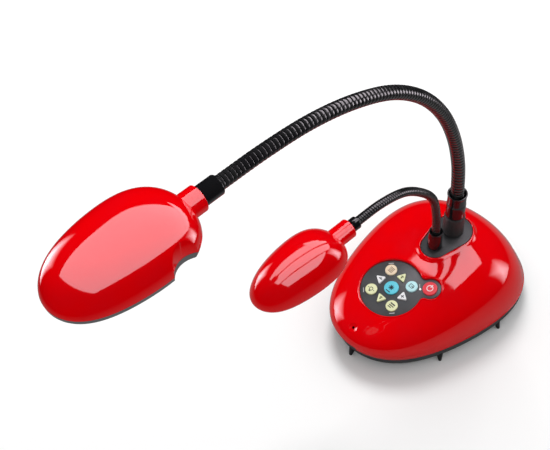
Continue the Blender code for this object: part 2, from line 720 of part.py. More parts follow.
# ---- Arm bases --------------------------------------------------------------------------------
def make_arm_bases(plate):
    """Plate under both goosenecks, with the sleeve and collars that stand on it."""
    plate_body = plate_mesh("arm_plate", taper_outline(), -PLATE_THICKNESS, 0.0)
    piece = add_object("arm_plate", plate_body, "matte_black", plate)
    for name, y, radius in (("main_bore", 0.0, ARM_BORE), ("lamp_bore", -plate_length(), LAMP_BORE)):
        bore = cylinder_mesh(name, radius, -0.006, 0.004, 20)
        boolean(piece, add_cutter(name, bore, plate, at(0.0, y, 0.0)))
    # The upright turned pieces clear the highest point of the tilted plate under them.
    base = MAIN_FOOT.z + 0.0022
    sleeve = (
        (ARM_BORE, SLEEVE_LENGTH),
        (SLEEVE_RADIUS - 0.0005, SLEEVE_LENGTH),
        (SLEEVE_RADIUS, SLEEVE_LENGTH - 0.0012),
        (SLEEVE_RADIUS, 0.0),
        (ARM_BORE, 0.0),
    )
    sleeve_mesh = turned_mesh("arm_sleeve", sleeve, 24)
    add_object("arm_sleeve", sleeve_mesh, "rubber", None, at(0.0, MAIN_FOOT.y, base))
    collar_low = base + SLEEVE_LENGTH + GAP
    rim = MAIN_FOOT.z + ARM_RIM_HEIGHT - collar_low
    collar = (
        (NECK_RADIUS + 0.0012, rim),
        (0.0092, rim),
        (0.0092, rim - 0.0012),
        (0.0087, rim - 0.0025),
        (0.0090, 0.0010),
        (0.0086, 0.0),
        (ARM_BORE, 0.0),
        (ARM_BORE, rim - 0.0060),
        (NECK_RADIUS + 0.0012, rim - 0.0060),
    )
    collar_mesh = turned_mesh("arm_collar", collar, 24)
    add_object("arm_collar", collar_mesh, "gloss_black", None, at(0.0, MAIN_FOOT.y, collar_low))
    lamp_low = LAMP_FOOT.z + 0.0018
    rim = LAMP_FOOT.z + LAMP_RIM_HEIGHT - lamp_low
    lamp_collar = (
        (LAMP_NECK_RADIUS + 0.00115, rim),
        (0.0066, rim),
        (0.0066, rim - 0.0010),
        (0.0062, rim - 0.0020),
        (0.0069, 0.0030),
        (0.0072, 0.0),
        (LAMP_BORE, 0.0),
        (LAMP_BORE, rim - 0.0050),
        (LAMP_NECK_RADIUS + 0.00115, rim - 0.0050),
    )
    lamp_collar_mesh = turned_mesh("lamp_collar", lamp_collar, 20)
    add_object("lamp_collar", lamp_collar_mesh, "gloss_black", None, at(0.0, LAMP_FOOT.y, lamp_low))


# ---- Goosenecks -------------------------------------------------------------------------------
def link_profile(radius, bore, length, cupped, balled):
    """Wall of one neck link: a cup round the hinge below it, a ball on the hinge above it."""
    cup = radius + 0.0005
    steps = 3
    if balled:
        first = math.asin(bore / radius)
        turns = [first + (math.pi / 2 - first) * i / steps for i in range(steps + 1)]
        profile = [(radius * math.sin(t), length + radius * math.cos(t)) for t in turns]
    else:
        profile = [(bore, length), (radius, length)]
    if cupped:
        first, last = math.asin(radius / cup), math.asin(bore / cup)
        turns = [first + (last - first) * i / steps for i in range(steps + 1)]
        profile += [(cup * math.sin(t), cup * math.cos(t)) for t in turns]
    else:
        profile += [(radius, 0.0), (bore, 0.0)]
    return profile


def make_neck(name, route, count, radius, bore, steps):
    """Chain of links whose hinges lie evenly along the smooth route."""
    points = even_points(route, count)
    for i, (start, end) in enumerate(zip(points, points[1:])):
        profile = link_profile(radius, bore, (end - start).length, i > 0, i < count - 1)
        link = f"{name}_{i + 1}"
        add_object(link, turned_mesh(link, profile, steps), "neck_black", None, along(start, end))


# ---- Camera head ------------------------------------------------------------------------------
# In each head's frame the origin is where its collar meets the ferrule and -Y runs to its tip.
UPRIGHT_TO_BACK = Matrix.Rotation(math.radians(-90), 4, "X")


def head_centre_y():
    """Middle of the head's egg, in the head's frame."""
    return -(HEAD_NECK + HEAD_EGG.half_length)


def head_dome_point(rho, angle, inset):
    """Point of the head's dome."""
    profile = (1 - rho**2.657) ** (1 / 2.127)
    x, y = egg_point(HEAD_EGG, angle, inset) * rho
    return Vector((x, head_centre_y() + y, HEAD_SEAM + (HEAD_RISE - inset) * profile))


def cover_point(rho, angle, inset):
    """Point of the cover's shallow bowl below the seam."""
    profile = (1 - rho**10) ** (1 / 2.2)
    x, y = egg_point(HEAD_EGG, angle, 0.0006 + inset) * rho
    return Vector((x, head_centre_y() + y, HEAD_SEAM - GAP - (COVER_DEPTH - inset) * profile))


def notch(name, radius, head):
    """Upright cylinder where the finger notch is."""
    place = at(NOTCH_CENTRE[0], head_centre_y() + NOTCH_CENTRE[1], 0.0)
    return add_cutter(name, cylinder_mesh(name, radius, -0.030, 0.040, 48), head, place)


def tube_back(name, radius, start, end, segments, parent):
    """Cutter along the head's own axis, between two places on Y."""
    tube = add_cutter(name, cylinder_mesh(name, radius, 0.0, end - start, segments), parent)
    tube.matrix_local = at(0.0, start, 0.0) @ UPRIGHT_TO_BACK
    return tube


def make_head_shell(head):
    """Hollow top shell with its round collar and the finger notch."""
    outside = dome_mesh("head_shell", lambda r, a: head_dome_point(r, a, 0.0), 40, 9)
    shell = add_object("head_shell", outside, "gloss_red", head)
    collar = tube_back("head_collar", COLLAR_RADIUS, -GAP - 0.0200, -GAP, 32, head)
    low, high = (-0.020, -0.025, -0.020), (0.020, 0.0004 - HEAD_NECK, HEAD_SEAM)
    boolean(collar, add_cutter("collar_trim", box_mesh("collar_trim", low, high), head))
    boolean(shell, collar, "UNION")
    room = dome_mesh("head_hollow", lambda r, a: head_dome_point(r, a, HEAD_WALL), 40, 9, -0.003)
    hollow = add_cutter("head_hollow", room, head)
    boolean(hollow, notch("notch_wall", NOTCH_RADIUS + HEAD_WALL, head))
    boolean(shell, hollow)
    boolean(shell, tube_back("head_bore", 0.0040, -0.0280, 0.0020, 20, head))
    boolean(shell, notch("notch_shell", NOTCH_RADIUS, head))


def make_head_cover(head):
    """Grey cover below the seam, open for the lens, with the same notch."""
    outside = dome_mesh("head_cover", lambda r, a: cover_point(r, a, 0.0), 40, 7)
    cover = add_object("head_cover", outside, "grey_cover", head)
    room = dome_mesh("cover_hollow", lambda r, a: cover_point(r, a, COVER_WALL), 40, 7, 0.003)
    hollow = add_cutter("cover_hollow", room, head)
    boolean(hollow, notch("notch_wall_below", NOTCH_RADIUS + 0.0018, head))
    boolean(cover, hollow)
    boolean(cover, notch("notch_cover", NOTCH_RADIUS, head))
    hole = cylinder_mesh("lens_hole", BARREL_RADIUS + CLEARANCE, -0.020, 0.004, 32)
    boolean(cover, add_cutter("lens_hole", hole, head, at(0.0, lens_y(), 0.0)))


def lens_y():
    """Lens axis, in front of the widest part's back half."""
    return head_centre_y() + LENS_AHEAD


def make_lens(head):
    """Lens barrel, its glass and the focus ring round it."""
    place = at(0.0, lens_y(), 0.0)
    inside = HEAD_FLOOR + COVER_WALL
    ring_low = HEAD_FLOOR - RING_HEIGHT
    barrel = (
        (0.0060, inside + 0.0080),
        (0.0090, inside + 0.0080),
        (0.0090, inside + 0.0021),
        (0.0130, inside + 0.0021),
        (0.0130, inside + GAP),
        (BARREL_RADIUS, inside + GAP),
        (BARREL_RADIUS, ring_low - 0.0006),
        (BARREL_RADIUS - 0.0008, ring_low - 0.0014),
        (0.0088, ring_low - 0.0014),
        (0.0078, ring_low + 0.0010),
        (0.0060, ring_low + 0.0010),
    )
    add_object("lens_barrel", turned_mesh("lens_barrel", barrel, 24), "gloss_black", head, place)
    glass = (
        (0.0, ring_low + 0.0042),
        (LENS_RADIUS, ring_low + 0.0042),
        (LENS_RADIUS, ring_low + 0.0024),
        (0.0040, ring_low + 0.0018),
        (0.0, ring_low + 0.0014),
    )
    add_object("lens_glass", turned_mesh("lens_glass", glass, 24, False), "lens_glass", head, place)
    bore = BARREL_RADIUS + 2 * GAP
    ring = (
        (bore, HEAD_FLOOR - GAP),
        (RING_RADIUS - 0.0013, HEAD_FLOOR - GAP),
        (RING_RADIUS, HEAD_FLOOR - 0.0012),
        (RING_RADIUS, ring_low + 0.0012),
        (RING_RADIUS - 0.0010, ring_low),
        (bore, ring_low),
    )
    add_object("focus_ring", turned_mesh("focus_ring", ring, 28), "rubber", head, place)


def make_head_inside(head):
    """Sensor board over the lens, and the two screws that hold the cover."""
    inside = HEAD_FLOOR + COVER_WALL
    place = at(0.0, lens_y(), 0.0)
    width, rise = SENSOR_BOARD
    low, high = (-width / 2, -width / 2, inside + rise), (width / 2, width / 2, inside + rise + 0.0014)
    piece = add_object("sensor_board", box_mesh("sensor_board", low, high), "board_green", head, place)
    width, height = SENSOR_CHIP
    low = (-width / 2, -width / 2, inside + rise + 0.0007)
    high = (width / 2, width / 2, inside + rise + height)
    boolean(piece, add_cutter("sensor_chip", box_mesh("sensor_chip", low, high), head, place), "UNION")
    screw = cylinder_mesh("head_screw", 0.0026, inside + GAP, inside + 0.0015, 12)
    for number, x in enumerate(HEAD_SCREWS, 1):
        spot = at(x, head_centre_y() - 0.012, 0.0)
        add_object(f"head_screw_{number}", screw.copy(), "steel", head, spot)


def ferrule(name, radius, length, recess, bore, head):
    """Black sleeve between a gooseneck and its head, recessed for the neck's end."""
    profile = (
        (recess, length),
        (radius - 0.0008, length),
        (radius, length - 0.0012),
        (radius, 0.0006),
        (radius - 0.0004, 0.0),
        (bore, 0.0),
        (bore, length - 0.0040),
        (recess, length - 0.0040),
    )
    add_object(name, turned_mesh(name, profile, 24), "gloss_black", head, UPRIGHT_TO_BACK)


# ---- Lamp head --------------------------------------------------------------------------------
def lamp_centre_y():
    """Middle of the lamp's egg, in the lamp's frame."""
    return -(LAMP_NECK + LAMP_EGG.half_length)


def lamp_ball_mesh(name, inset):
    """Closed egg: a high dome above the seam and a shallow bowl below it."""
    bm = bmesh.new()
    bmesh.ops.create_uvsphere(bm, u_segments=32, v_segments=14, radius=1.0)
    for vert in bm.verts:
        on_seam = abs(vert.co.z) < 1e-5
        rho = 1.0 if on_seam else math.hypot(vert.co.x, vert.co.y)
        x, y = egg_point(LAMP_EGG, math.atan2(vert.co.y, vert.co.x), inset) * rho
        if on_seam:
            height = 0.0
        elif vert.co.z > 0:
            height = (LAMP_RISE - inset) * (1 - rho**2.485) ** (1 / 1.509)
        else:
            height = -(LAMP_DROP - inset / 2) * (1 - rho**4) ** 0.5
        vert.co = (x, lamp_centre_y() + y, LAMP_SEAM + height)
    return mesh_from(bm, name)


def lamp_plate(name, share, low, high, count=36):
    """Egg-shaped plate inside the lamp, a share of the case's own outline."""
    return plate_mesh(name, egg_outline(LAMP_EGG, LAMP_WALL, share, count, lamp_centre_y()), low, high)


def make_lamp_shell(lamp):
    """Hollow red case with its round collar, cut flat and open below."""
    shell = add_object("lamp_shell", lamp_ball_mesh("lamp_shell", 0.0), "gloss_red", lamp)
    collar = tube_back("lamp_collar_body", LAMP_COLLAR_RADIUS, -GAP - 0.0200, -GAP, 28, lamp)
    boolean(shell, collar, "UNION")
    boolean(shell, add_cutter("lamp_hollow", lamp_ball_mesh("lamp_hollow", LAMP_WALL), lamp))
    boolean(shell, tube_back("lamp_wire_bore", 0.0030, -0.0280, 0.0020, 16, lamp))
    slab = box_mesh("lamp_cut", (-0.040, -0.120, LAMP_FLOOR - 0.010), (0.040, 0.002, LAMP_FLOOR))
    slab_cutter = add_cutter("lamp_cut", slab, lamp)
    keep = box_mesh("collar_keep", (-0.012, -LAMP_NECK + 0.0005, -0.030), (0.012, 0.010, 0.010))
    boolean(slab_cutter, add_cutter("collar_keep", keep, lamp))
    boolean(shell, slab_cutter)


def make_lamp_light(lamp):
    """Bezel, milky diffuser and the board of lights behind it."""
    bezel_mesh = lamp_plate("lamp_bezel", BEZEL_SHARES[0], LAMP_FLOOR + 0.0002, LAMP_FLOOR + 0.0022)
    bezel = add_object("lamp_bezel", bezel_mesh, "matte_black", lamp)
    hole = lamp_plate("bezel_hole", BEZEL_SHARES[1], LAMP_FLOOR - 0.004, LAMP_FLOOR + 0.006)
    boolean(bezel, add_cutter("bezel_hole", hole, lamp))
    pane = lamp_plate("lamp_diffuser", DIFFUSER_SHARE, LAMP_FLOOR + 0.0006, LAMP_FLOOR + 0.0020, 32)
    add_object("lamp_diffuser", pane, "diffuser", lamp)
    board_low = LAMP_FLOOR + 0.0065
    board_mesh = lamp_plate("led_board", LED_BOARD_SHARE, board_low, board_low + 0.0015, 24)
    board = add_object("led_board", board_mesh, "board_green", lamp)
    side = LED_SIZE / 2
    for i in range(6):
        x = LED_GRID[0] * (1 if i % 2 else -1)
        y = lamp_centre_y() + LED_GRID[1] * (i // 2 - 1)
        low, high = (x - side, y - side, board_low - 0.0015), (x + side, y + side, board_low + 0.0005)
        boolean(board, add_cutter(f"led_{i}", box_mesh("led", low, high), lamp), "UNION")


# ---- Assembly ---------------------------------------------------------------------------------
def build():
    """Make every piece, group by group."""
    clear_scene()
    keypad = add_empty("keypad_frame", KEYPAD_CENTRE, KEYPAD_TILT)
    plate = add_empty("arm_plate_frame", MAIN_FOOT, ARM_PLATE_TILT)
    head = add_empty("head_frame", HEAD_JOINT, HEAD_PITCH)
    lamp = add_empty("lamp_frame", LAMP_JOINT, LAMP_PITCH)
    make_base(keypad, plate)
    make_keypad(keypad)
    make_arm_bases(plate)
    make_neck("neck_link", NECK_ROUTE, NECK_LINKS, NECK_RADIUS, NECK_BORE, 14)
    make_neck("lamp_link", LAMP_ROUTE, LAMP_LINKS, LAMP_NECK_RADIUS, LAMP_NECK_BORE, 10)
    ferrule("head_ferrule", FERRULE_RADIUS, FERRULE_LENGTH, NECK_RADIUS + 0.0011, 0.0045, head)
    ferrule("lamp_ferrule", LAMP_FERRULE_RADIUS, LAMP_FERRULE_LENGTH, 0.00485, 0.0028, lamp)
    make_head_shell(head)
    make_head_cover(head)
    make_lens(head)
    make_head_inside(head)
    make_lamp_shell(lamp)
    make_lamp_light(lamp)


build()
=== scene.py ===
"""Looks of the document camera: fine meshes and materials for every piece that shows.

Metres, +Z up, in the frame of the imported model. Places and joints come from the frame, and each
class holds the sizes of what it builds and rides its pieces on their bodies.
"""

import json
import logging
import math
from collections.abc import Callable, Sequence
from dataclasses import dataclass, field
from enum import Enum, auto

import bmesh
import bpy
from mathutils import Matrix, Vector
from mathutils.bvhtree import BVHTree

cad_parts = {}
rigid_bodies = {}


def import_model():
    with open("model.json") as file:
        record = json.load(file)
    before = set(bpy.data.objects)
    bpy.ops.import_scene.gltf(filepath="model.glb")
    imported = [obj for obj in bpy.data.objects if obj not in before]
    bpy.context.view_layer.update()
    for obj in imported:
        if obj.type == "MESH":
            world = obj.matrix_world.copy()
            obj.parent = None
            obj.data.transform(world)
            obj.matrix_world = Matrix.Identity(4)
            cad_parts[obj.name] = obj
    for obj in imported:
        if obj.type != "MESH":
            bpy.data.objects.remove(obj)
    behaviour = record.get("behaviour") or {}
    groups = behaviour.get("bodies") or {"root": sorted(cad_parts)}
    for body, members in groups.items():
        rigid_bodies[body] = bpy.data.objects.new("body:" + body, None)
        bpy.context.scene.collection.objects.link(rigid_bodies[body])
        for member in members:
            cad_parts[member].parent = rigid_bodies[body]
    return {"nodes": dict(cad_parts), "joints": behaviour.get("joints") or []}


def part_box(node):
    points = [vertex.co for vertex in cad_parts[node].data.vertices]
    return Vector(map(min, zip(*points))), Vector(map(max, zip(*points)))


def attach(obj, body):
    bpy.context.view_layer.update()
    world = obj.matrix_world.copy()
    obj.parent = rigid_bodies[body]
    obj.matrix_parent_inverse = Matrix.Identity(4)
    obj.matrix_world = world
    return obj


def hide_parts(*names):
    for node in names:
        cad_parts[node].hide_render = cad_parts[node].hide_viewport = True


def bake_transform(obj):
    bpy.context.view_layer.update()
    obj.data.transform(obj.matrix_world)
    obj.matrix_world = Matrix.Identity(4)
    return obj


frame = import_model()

LOG = logging.getLogger("document_camera")
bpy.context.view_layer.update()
JOINTS = {joint["name"]: joint for joint in frame["joints"]}

GAP = 0.0003
SMOOTH_ANGLE = 38.0
UPRIGHT_TO_BACK = Matrix.Rotation(math.radians(-90), 4, "X")
UPRIGHT_TO_FRONT = Matrix.Rotation(math.radians(90), 4, "X")

Ring = list[Vector]
Outline = Callable[[float], Ring]
Colour = tuple[float, float, float]


# ---- Mesh tools -------------------------------------------------------------------------------
def to_mesh(bm: bmesh.types.BMesh, name: str, angle: float = SMOOTH_ANGLE) -> bpy.types.Mesh:
    """Turn a bmesh into a smooth-shaded mesh whose edges sharper than angle stay crisp.

    Args:
        bm: The bmesh, which is used up.
        name: The mesh's name.
        angle: Edges sharper than this many degrees stay crisp.

    Returns:
        The mesh, with its faces outwards.
    """
    bmesh.ops.recalc_face_normals(bm, faces=bm.faces)
    mesh = bpy.data.meshes.new(name)
    bm.to_mesh(mesh)
    bm.free()
    mesh.shade_smooth()
    mesh.set_sharp_from_angle(angle=math.radians(angle))
    return mesh


def close_end(bm: bmesh.types.BMesh, loop: list[bmesh.types.BMVert], end: Vector | bool | None) -> None:
    """Close one end of a loft: a Vector is a pole, True a flat face and None leaves it open.

    Args:
        bm: The bmesh that is built.
        loop: The last ring's corners.
        end: How to close it.
    """
    if isinstance(end, Vector):
        pole = bm.verts.new(end)
        for i, vert in enumerate(loop):
            bm.faces.new((vert, loop[(i + 1) % len(loop)], pole))
    elif end:
        bm.faces.new(loop)


def loft(
    name: str,
    rings: Sequence[Ring],
    first: Vector | bool | None = None,
    last: Vector | bool | None = None,
    wrap: bool = False,
) -> bpy.types.Mesh:
    """Skin equal rings of points.

    Args:
        name: The mesh's name.
        rings: Rings with the same number of points.
        first: How the first ring is closed, as close_end says.
        last: How the last ring is closed.
        wrap: Whether the last ring is joined to the first one.

    Returns:
        The smooth-shaded mesh.
    """
    bm = bmesh.new()
    loops = [[bm.verts.new(point) for point in ring] for ring in rings]
    pairs = list(zip(loops, loops[1:]))
    if wrap:
        pairs.append((loops[-1], loops[0]))
    for low, high in pairs:
        for i, vert in enumerate(low):
            j = (i + 1) % len(low)
            bm.faces.new((vert, low[j], high[j], high[i]))
    close_end(bm, loops[0], first)
    close_end(bm, loops[-1], last)
    return to_mesh(bm, name)


def circle(radius: float, count: int = 64, height: float = 0.0) -> Ring:
    """Points of a level circle round Z."""
    turns = [2 * math.pi * i / count for i in range(count)]
    return [Vector((radius * math.cos(t), radius * math.sin(t), height)) for t in turns]


def arc(centre: Vector, radius: float, start: float, end: float, count: int) -> Ring:
    """Points of a level arc between two angles in degrees, ends included."""
    turns = [math.radians(start + (end - start) * i / (count - 1)) for i in range(count)]
    return [centre + radius * Vector((math.cos(t), math.sin(t), 0.0)) for t in turns]


def arc_from(centre: Vector, first: Vector, last: Vector, turn: int, count: int) -> Ring:
    """Points after first on the arc to last; turn is 1 anticlockwise or -1 clockwise."""
    begin, finish = first - centre, last - centre
    start = math.atan2(begin.y, begin.x)
    sweep = turn * ((turn * (math.atan2(finish.y, finish.x) - start)) % (2 * math.pi))
    return arc(centre, begin.length, math.degrees(start), math.degrees(start + sweep), count)[1:]


def rounded(
    points: Sequence[tuple[float, float]], radius: float, closed: bool = False, steps: int = 3,
) -> list:
    """Profile of (radius, height) points with its corners rounded.

    Args:
        points: The profile's corners.
        radius: How far from each corner the rounding starts.
        closed: Whether the profile goes round to its start.
        steps: Pieces in each rounded corner.

    Returns:
        The finer profile, as tuples.
    """
    corners = [Vector(point) for point in points]
    result = []
    for i, corner in enumerate(corners):
        if not closed and i in (0, len(corners) - 1):
            result.append(tuple(corner))
            continue
        before, after = corners[i - 1] - corner, corners[(i + 1) % len(corners)] - corner
        reach = min(radius, 0.45 * before.length, 0.45 * after.length)
        start, end = corner + reach * before.normalized(), corner + reach * after.normalized()
        for k in range(steps + 1):
            t = k / steps
            result.append(tuple((1 - t) ** 2 * start + 2 * t * (1 - t) * corner + t * t * end))
    return result


def turned(name: str, profile: Sequence[tuple[float, float]], steps: int = 64) -> bpy.types.Mesh:
    """Turn a profile of (radius, height) round Z; one that leaves the axis alone is a closed wall.

    Args:
        name: The mesh's name.
        profile: Points of radius and height.
        steps: Number of corners in each ring.

    Returns:
        The turned body.
    """
    on_axis = [radius < 1e-6 for radius, _ in profile]
    rings = [circle(radius, steps, height) for radius, height in profile if radius >= 1e-6]
    first = Vector((0.0, 0.0, profile[0][1])) if on_axis[0] else None
    last = Vector((0.0, 0.0, profile[-1][1])) if on_axis[-1] else None
    return loft(name, rings, first, last, wrap=not (on_axis[0] or on_axis[-1]))


def prism(name: str, ring: Ring, low: float, high: float) -> bpy.types.Mesh:
    """Upright body with one outline between two heights."""
    return loft(name, [[Vector((p.x, p.y, z)) for p in ring] for z in (low, high)], True, True)


def plate(name: str, outline: Outline, low: float, high: float, edge: float) -> bpy.types.Mesh:
    """Flat plate with rounded edges; outline(grow) gives its points, grown outwards."""
    steps = (
        (-edge, low), (0.0, low + edge), (0.0, high - edge), (-0.3 * edge, high - 0.3 * edge), (-edge, high),
    )
    rings = [[Vector((p.x, p.y, z)) for p in outline(grow)] for grow, z in steps]
    return loft(name, rings, True, True)


def box(name: str, low: Sequence[float], high: Sequence[float]) -> bpy.types.Mesh:
    """Box between two corners."""
    corners = [Vector((low[0], low[1], 0)), Vector((high[0], low[1], 0))]
    corners += [Vector((high[0], high[1], 0)), Vector((low[0], high[1], 0))]
    return prism(name, corners, low[2], high[2])


def merged(name: str, meshes: Sequence[bpy.types.Mesh]) -> bpy.types.Mesh:
    """Several separate bodies in one mesh; the given meshes are removed.

    Args:
        name: The new mesh's name.
        meshes: The bodies to join.

    Returns:
        The joined mesh.
    """
    bm = bmesh.new()
    for mesh in meshes:
        bm.from_mesh(mesh)
        bpy.data.meshes.remove(mesh)
    return to_mesh(bm, name)


def moved(mesh: bpy.types.Mesh, place: Matrix) -> bpy.types.Mesh:
    """The same mesh, moved by a matrix."""
    mesh.transform(place)
    return mesh


def carve(mesh: bpy.types.Mesh, cutter: bpy.types.Mesh, how: str = "DIFFERENCE") -> bpy.types.Mesh:
    """Cut or join a body and keep the shading that its faces had before.

    Args:
        mesh: The body.
        cutter: The other body, which is used up.
        how: The Boolean's operation.

    Returns:
        The new mesh; the corners that the cut made are shaded by their own faces.
    """
    for part in (mesh, cutter):
        normals = [0.0] * (3 * len(part.loops))
        part.corner_normals.foreach_get("vector", normals)
        kept = part.attributes.get("shape_normal")
        kept = kept or part.attributes.new("shape_normal", "FLOAT_VECTOR", "CORNER")
        if part is mesh or how == "UNION":
            kept.data.foreach_set("vector", normals)
    bodies = [bpy.data.objects.new(part.name, part) for part in (mesh, cutter)]
    for body in bodies:
        bpy.context.scene.collection.objects.link(body)
    modifier = bodies[0].modifiers.new("carve", "BOOLEAN")
    modifier.solver = "EXACT"
    modifier.operation = how
    modifier.object = bodies[1]
    depsgraph = bpy.context.evaluated_depsgraph_get()
    result = bpy.data.meshes.new_from_object(bodies[0].evaluated_get(depsgraph))
    for body in bodies:
        bpy.data.objects.remove(body)
    bpy.data.meshes.remove(cutter)
    name = mesh.name
    bpy.data.meshes.remove(mesh)
    result.name = name
    result.set_sharp_from_angle(angle=math.radians(SMOOTH_ANGLE))
    kept = result.attributes["shape_normal"]
    normals = []
    for corner, own in zip(kept.data, result.corner_normals):
        old = Vector(corner.vector)
        normals.append(old.normalized() if old.length > 0.5 else Vector(own.vector))
    result.attributes.remove(kept)
    result.normals_split_custom_set(normals)
    return result


def spans(node: str, place: Matrix) -> tuple[Vector, Vector]:
    """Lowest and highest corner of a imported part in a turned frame."""
    back = place.inverted()
    points = [back @ vert.co for vert in frame["nodes"][node].data.vertices]
    low = Vector(min(p[k] for p in points) for k in range(3))
    return low, Vector(max(p[k] for p in points) for k in range(3))


def joint_frame(name: str) -> Matrix:
    """Frame at a swivel whose Y axis is the swivel's own axis."""
    joint = JOINTS[name]
    tilt = math.atan2(joint["axis"][2], joint["axis"][1])
    return Matrix.Translation(joint["pos_m"]) @ Matrix.Rotation(tilt, 4, "X")


# ---- Finishes ---------------------------------------------------------------------------------
class Pattern(Enum):
    """What a surface shows close up."""

    LACQUER = auto()
    MOULDED = auto()
    KNURLED = auto()
    BRUSHED = auto()
    TRACED = auto()
    PLAIN = auto()


@dataclass(frozen=True)
class Finish:
    """One kind of surface: its colours, gloss, relief and pattern."""

    name: str
    slot: str
    colour: Colour
    drift: Colour
    rough: tuple[float, float]
    pattern: Pattern = Pattern.MOULDED
    grain: float = 2500.0
    relief: float = 0.00003
    metallic: float = 0.0
    coat: float = 0.0
    ior: float = 1.5
    sheen: float = 0.0
    transmission: float = 0.0
    glow: float = 0.0


RED_LACQUER = Finish(
    "red_lacquer", "gloss_red", (0.80, 0.0, 0.002), (0.76, 0.0, 0.003), (0.035, 0.075),
    Pattern.LACQUER, 900.0, 0.0000015, coat=0.25,
)
TRAY_PLASTIC = Finish(
    "tray_plastic", "tray_black", (0.052, 0.054, 0.056), (0.040, 0.042, 0.044), (0.42, 0.58),
)
PLATE_PLASTIC = Finish(
    "plate_plastic", "tray_black", (0.036, 0.038, 0.040), (0.028, 0.030, 0.032), (0.38, 0.52), grain=3200.0,
)
BLACK_GLOSS = Finish(
    "black_gloss", "gloss_black", (0.006, 0.006, 0.007), (0.009, 0.009, 0.010), (0.07, 0.13),
    Pattern.LACQUER, 900.0, 0.000002, coat=0.3,
)
HOSE_STEEL = Finish(
    "hose_coated_steel", "neck_black", (0.010, 0.010, 0.011), (0.016, 0.016, 0.017), (0.16, 0.28),
    Pattern.LACQUER, 1800.0, 0.000004, metallic=0.0, coat=0.2, ior=1.7,
)
SLEEVE_RUBBER = Finish(
    "sleeve_knurled", "rubber_black", (0.022, 0.022, 0.023), (0.055, 0.055, 0.058), (0.45, 0.75),
    Pattern.KNURLED, 1100.0, 0.00018,
)
FOOT_RUBBER = Finish("foot_rubber", "rubber_black", (0.012, 0.012, 0.013), (0.020, 0.020, 0.021), (0.55, 0.8))
COVER_PLASTIC = Finish(
    "cover_grey", "cover_grey", (0.15, 0.152, 0.155), (0.125, 0.128, 0.13), (0.38, 0.5), grain=3000.0,
)
PANEL_FILM = Finish(
    "panel_film", "keypad_grey", (0.055, 0.058, 0.062), (0.085, 0.089, 0.095), (0.30, 0.42), grain=3600.0,
    relief=0.000012,
)
STEEL = Finish(
    "plated_steel", "steel", (0.55, 0.56, 0.58), (0.46, 0.47, 0.49), (0.22, 0.4),
    Pattern.BRUSHED, 700.0, 0.00001, metallic=1.0,
)
BOARD = Finish(
    "circuit_board", "board_green", (0.015, 0.13, 0.055), (0.45, 0.34, 0.12), (0.3, 0.45),
    Pattern.TRACED, 260.0, 0.00003,
)
GOLD = Finish(
    "contact_gold", "steel", (0.78, 0.56, 0.24), (0.70, 0.50, 0.20), (0.2, 0.35),
    Pattern.BRUSHED, 900.0, 0.000004, metallic=1.0,
)
LENS_GLASS = Finish(
    "coated_lens", "lens_glass", (0.80, 0.82, 0.95), (0.80, 0.82, 0.95), (0.01, 0.02),
    Pattern.PLAIN, coat=0.4, ior=1.6, transmission=0.9,
)
DIFFUSER = Finish(
    "milky_diffuser", "diffuser_white", (0.86, 0.86, 0.84), (0.80, 0.80, 0.78), (0.35, 0.5), grain=4200.0,
)
LIGHT_DOT = Finish(
    "indicator_lens", "diffuser_white", (0.93, 0.93, 0.92), (0.90, 0.90, 0.90), (0.15, 0.25), glow=0.5,
)
LABEL_INK = Finish(
    "label_ink", "diffuser_white", (0.55, 0.56, 0.57), (0.45, 0.46, 0.47), (0.4, 0.5), Pattern.PLAIN,
)


def key_finish(name: str, slot: str, colour: Colour) -> Finish:
    """Satin finish of a key cap in its own colour."""
    drift = tuple(0.9 * channel for channel in colour)
    return Finish(name, slot, colour, drift, (0.32, 0.45), grain=3400.0, relief=0.00001)


KEY_CYAN = key_finish("key_cyan", "key_cyan", (0.10, 0.56, 0.70))
KEY_PALE_CYAN = key_finish("key_pale_cyan", "key_pale_cyan", (0.48, 0.78, 0.82))
KEY_CREAM = key_finish("key_cream", "key_cream", (0.78, 0.62, 0.44))
KEY_YELLOW = key_finish("key_yellow", "key_yellow", (0.76, 0.78, 0.46))
KEY_WHITE = key_finish("key_white", "key_white", (0.82, 0.82, 0.84))
KEY_RED = key_finish("key_red", "key_red", (0.86, 0.045, 0.065))
DARK_INK = key_finish("dark_ink", "keypad_grey", (0.020, 0.028, 0.036))
BROWN_INK = key_finish("brown_ink", "keypad_grey", (0.26, 0.17, 0.12))
OLIVE_INK = key_finish("olive_ink", "keypad_grey", (0.16, 0.18, 0.07))
WHITE_INK = key_finish("white_ink", "key_white", (0.90, 0.86, 0.87))


class NodeTree:
    """Short way to add and link shader nodes."""

    def __init__(self, tree: bpy.types.NodeTree) -> None:
        """Hold the tree that the nodes go in."""
        self.tree = tree

    def add(self, kind: str, **values: object) -> bpy.types.Node:
        """Add a node.

        Args:
            kind: The node's type.
            **values: Settings, or input values where the name is an input's in lower case.

        Returns:
            The new node.
        """
        node = self.tree.nodes.new(kind)
        inputs = {socket.name.lower().replace(" ", "_"): socket for socket in reversed(node.inputs)}
        for name, value in values.items():
            if hasattr(node, name):
                setattr(node, name, value)
            else:
                inputs[name].default_value = value
        return node

    def link(self, source: bpy.types.NodeSocket, target: bpy.types.NodeSocket) -> None:
        """Join an output to an input."""
        self.tree.links.new(source, target)


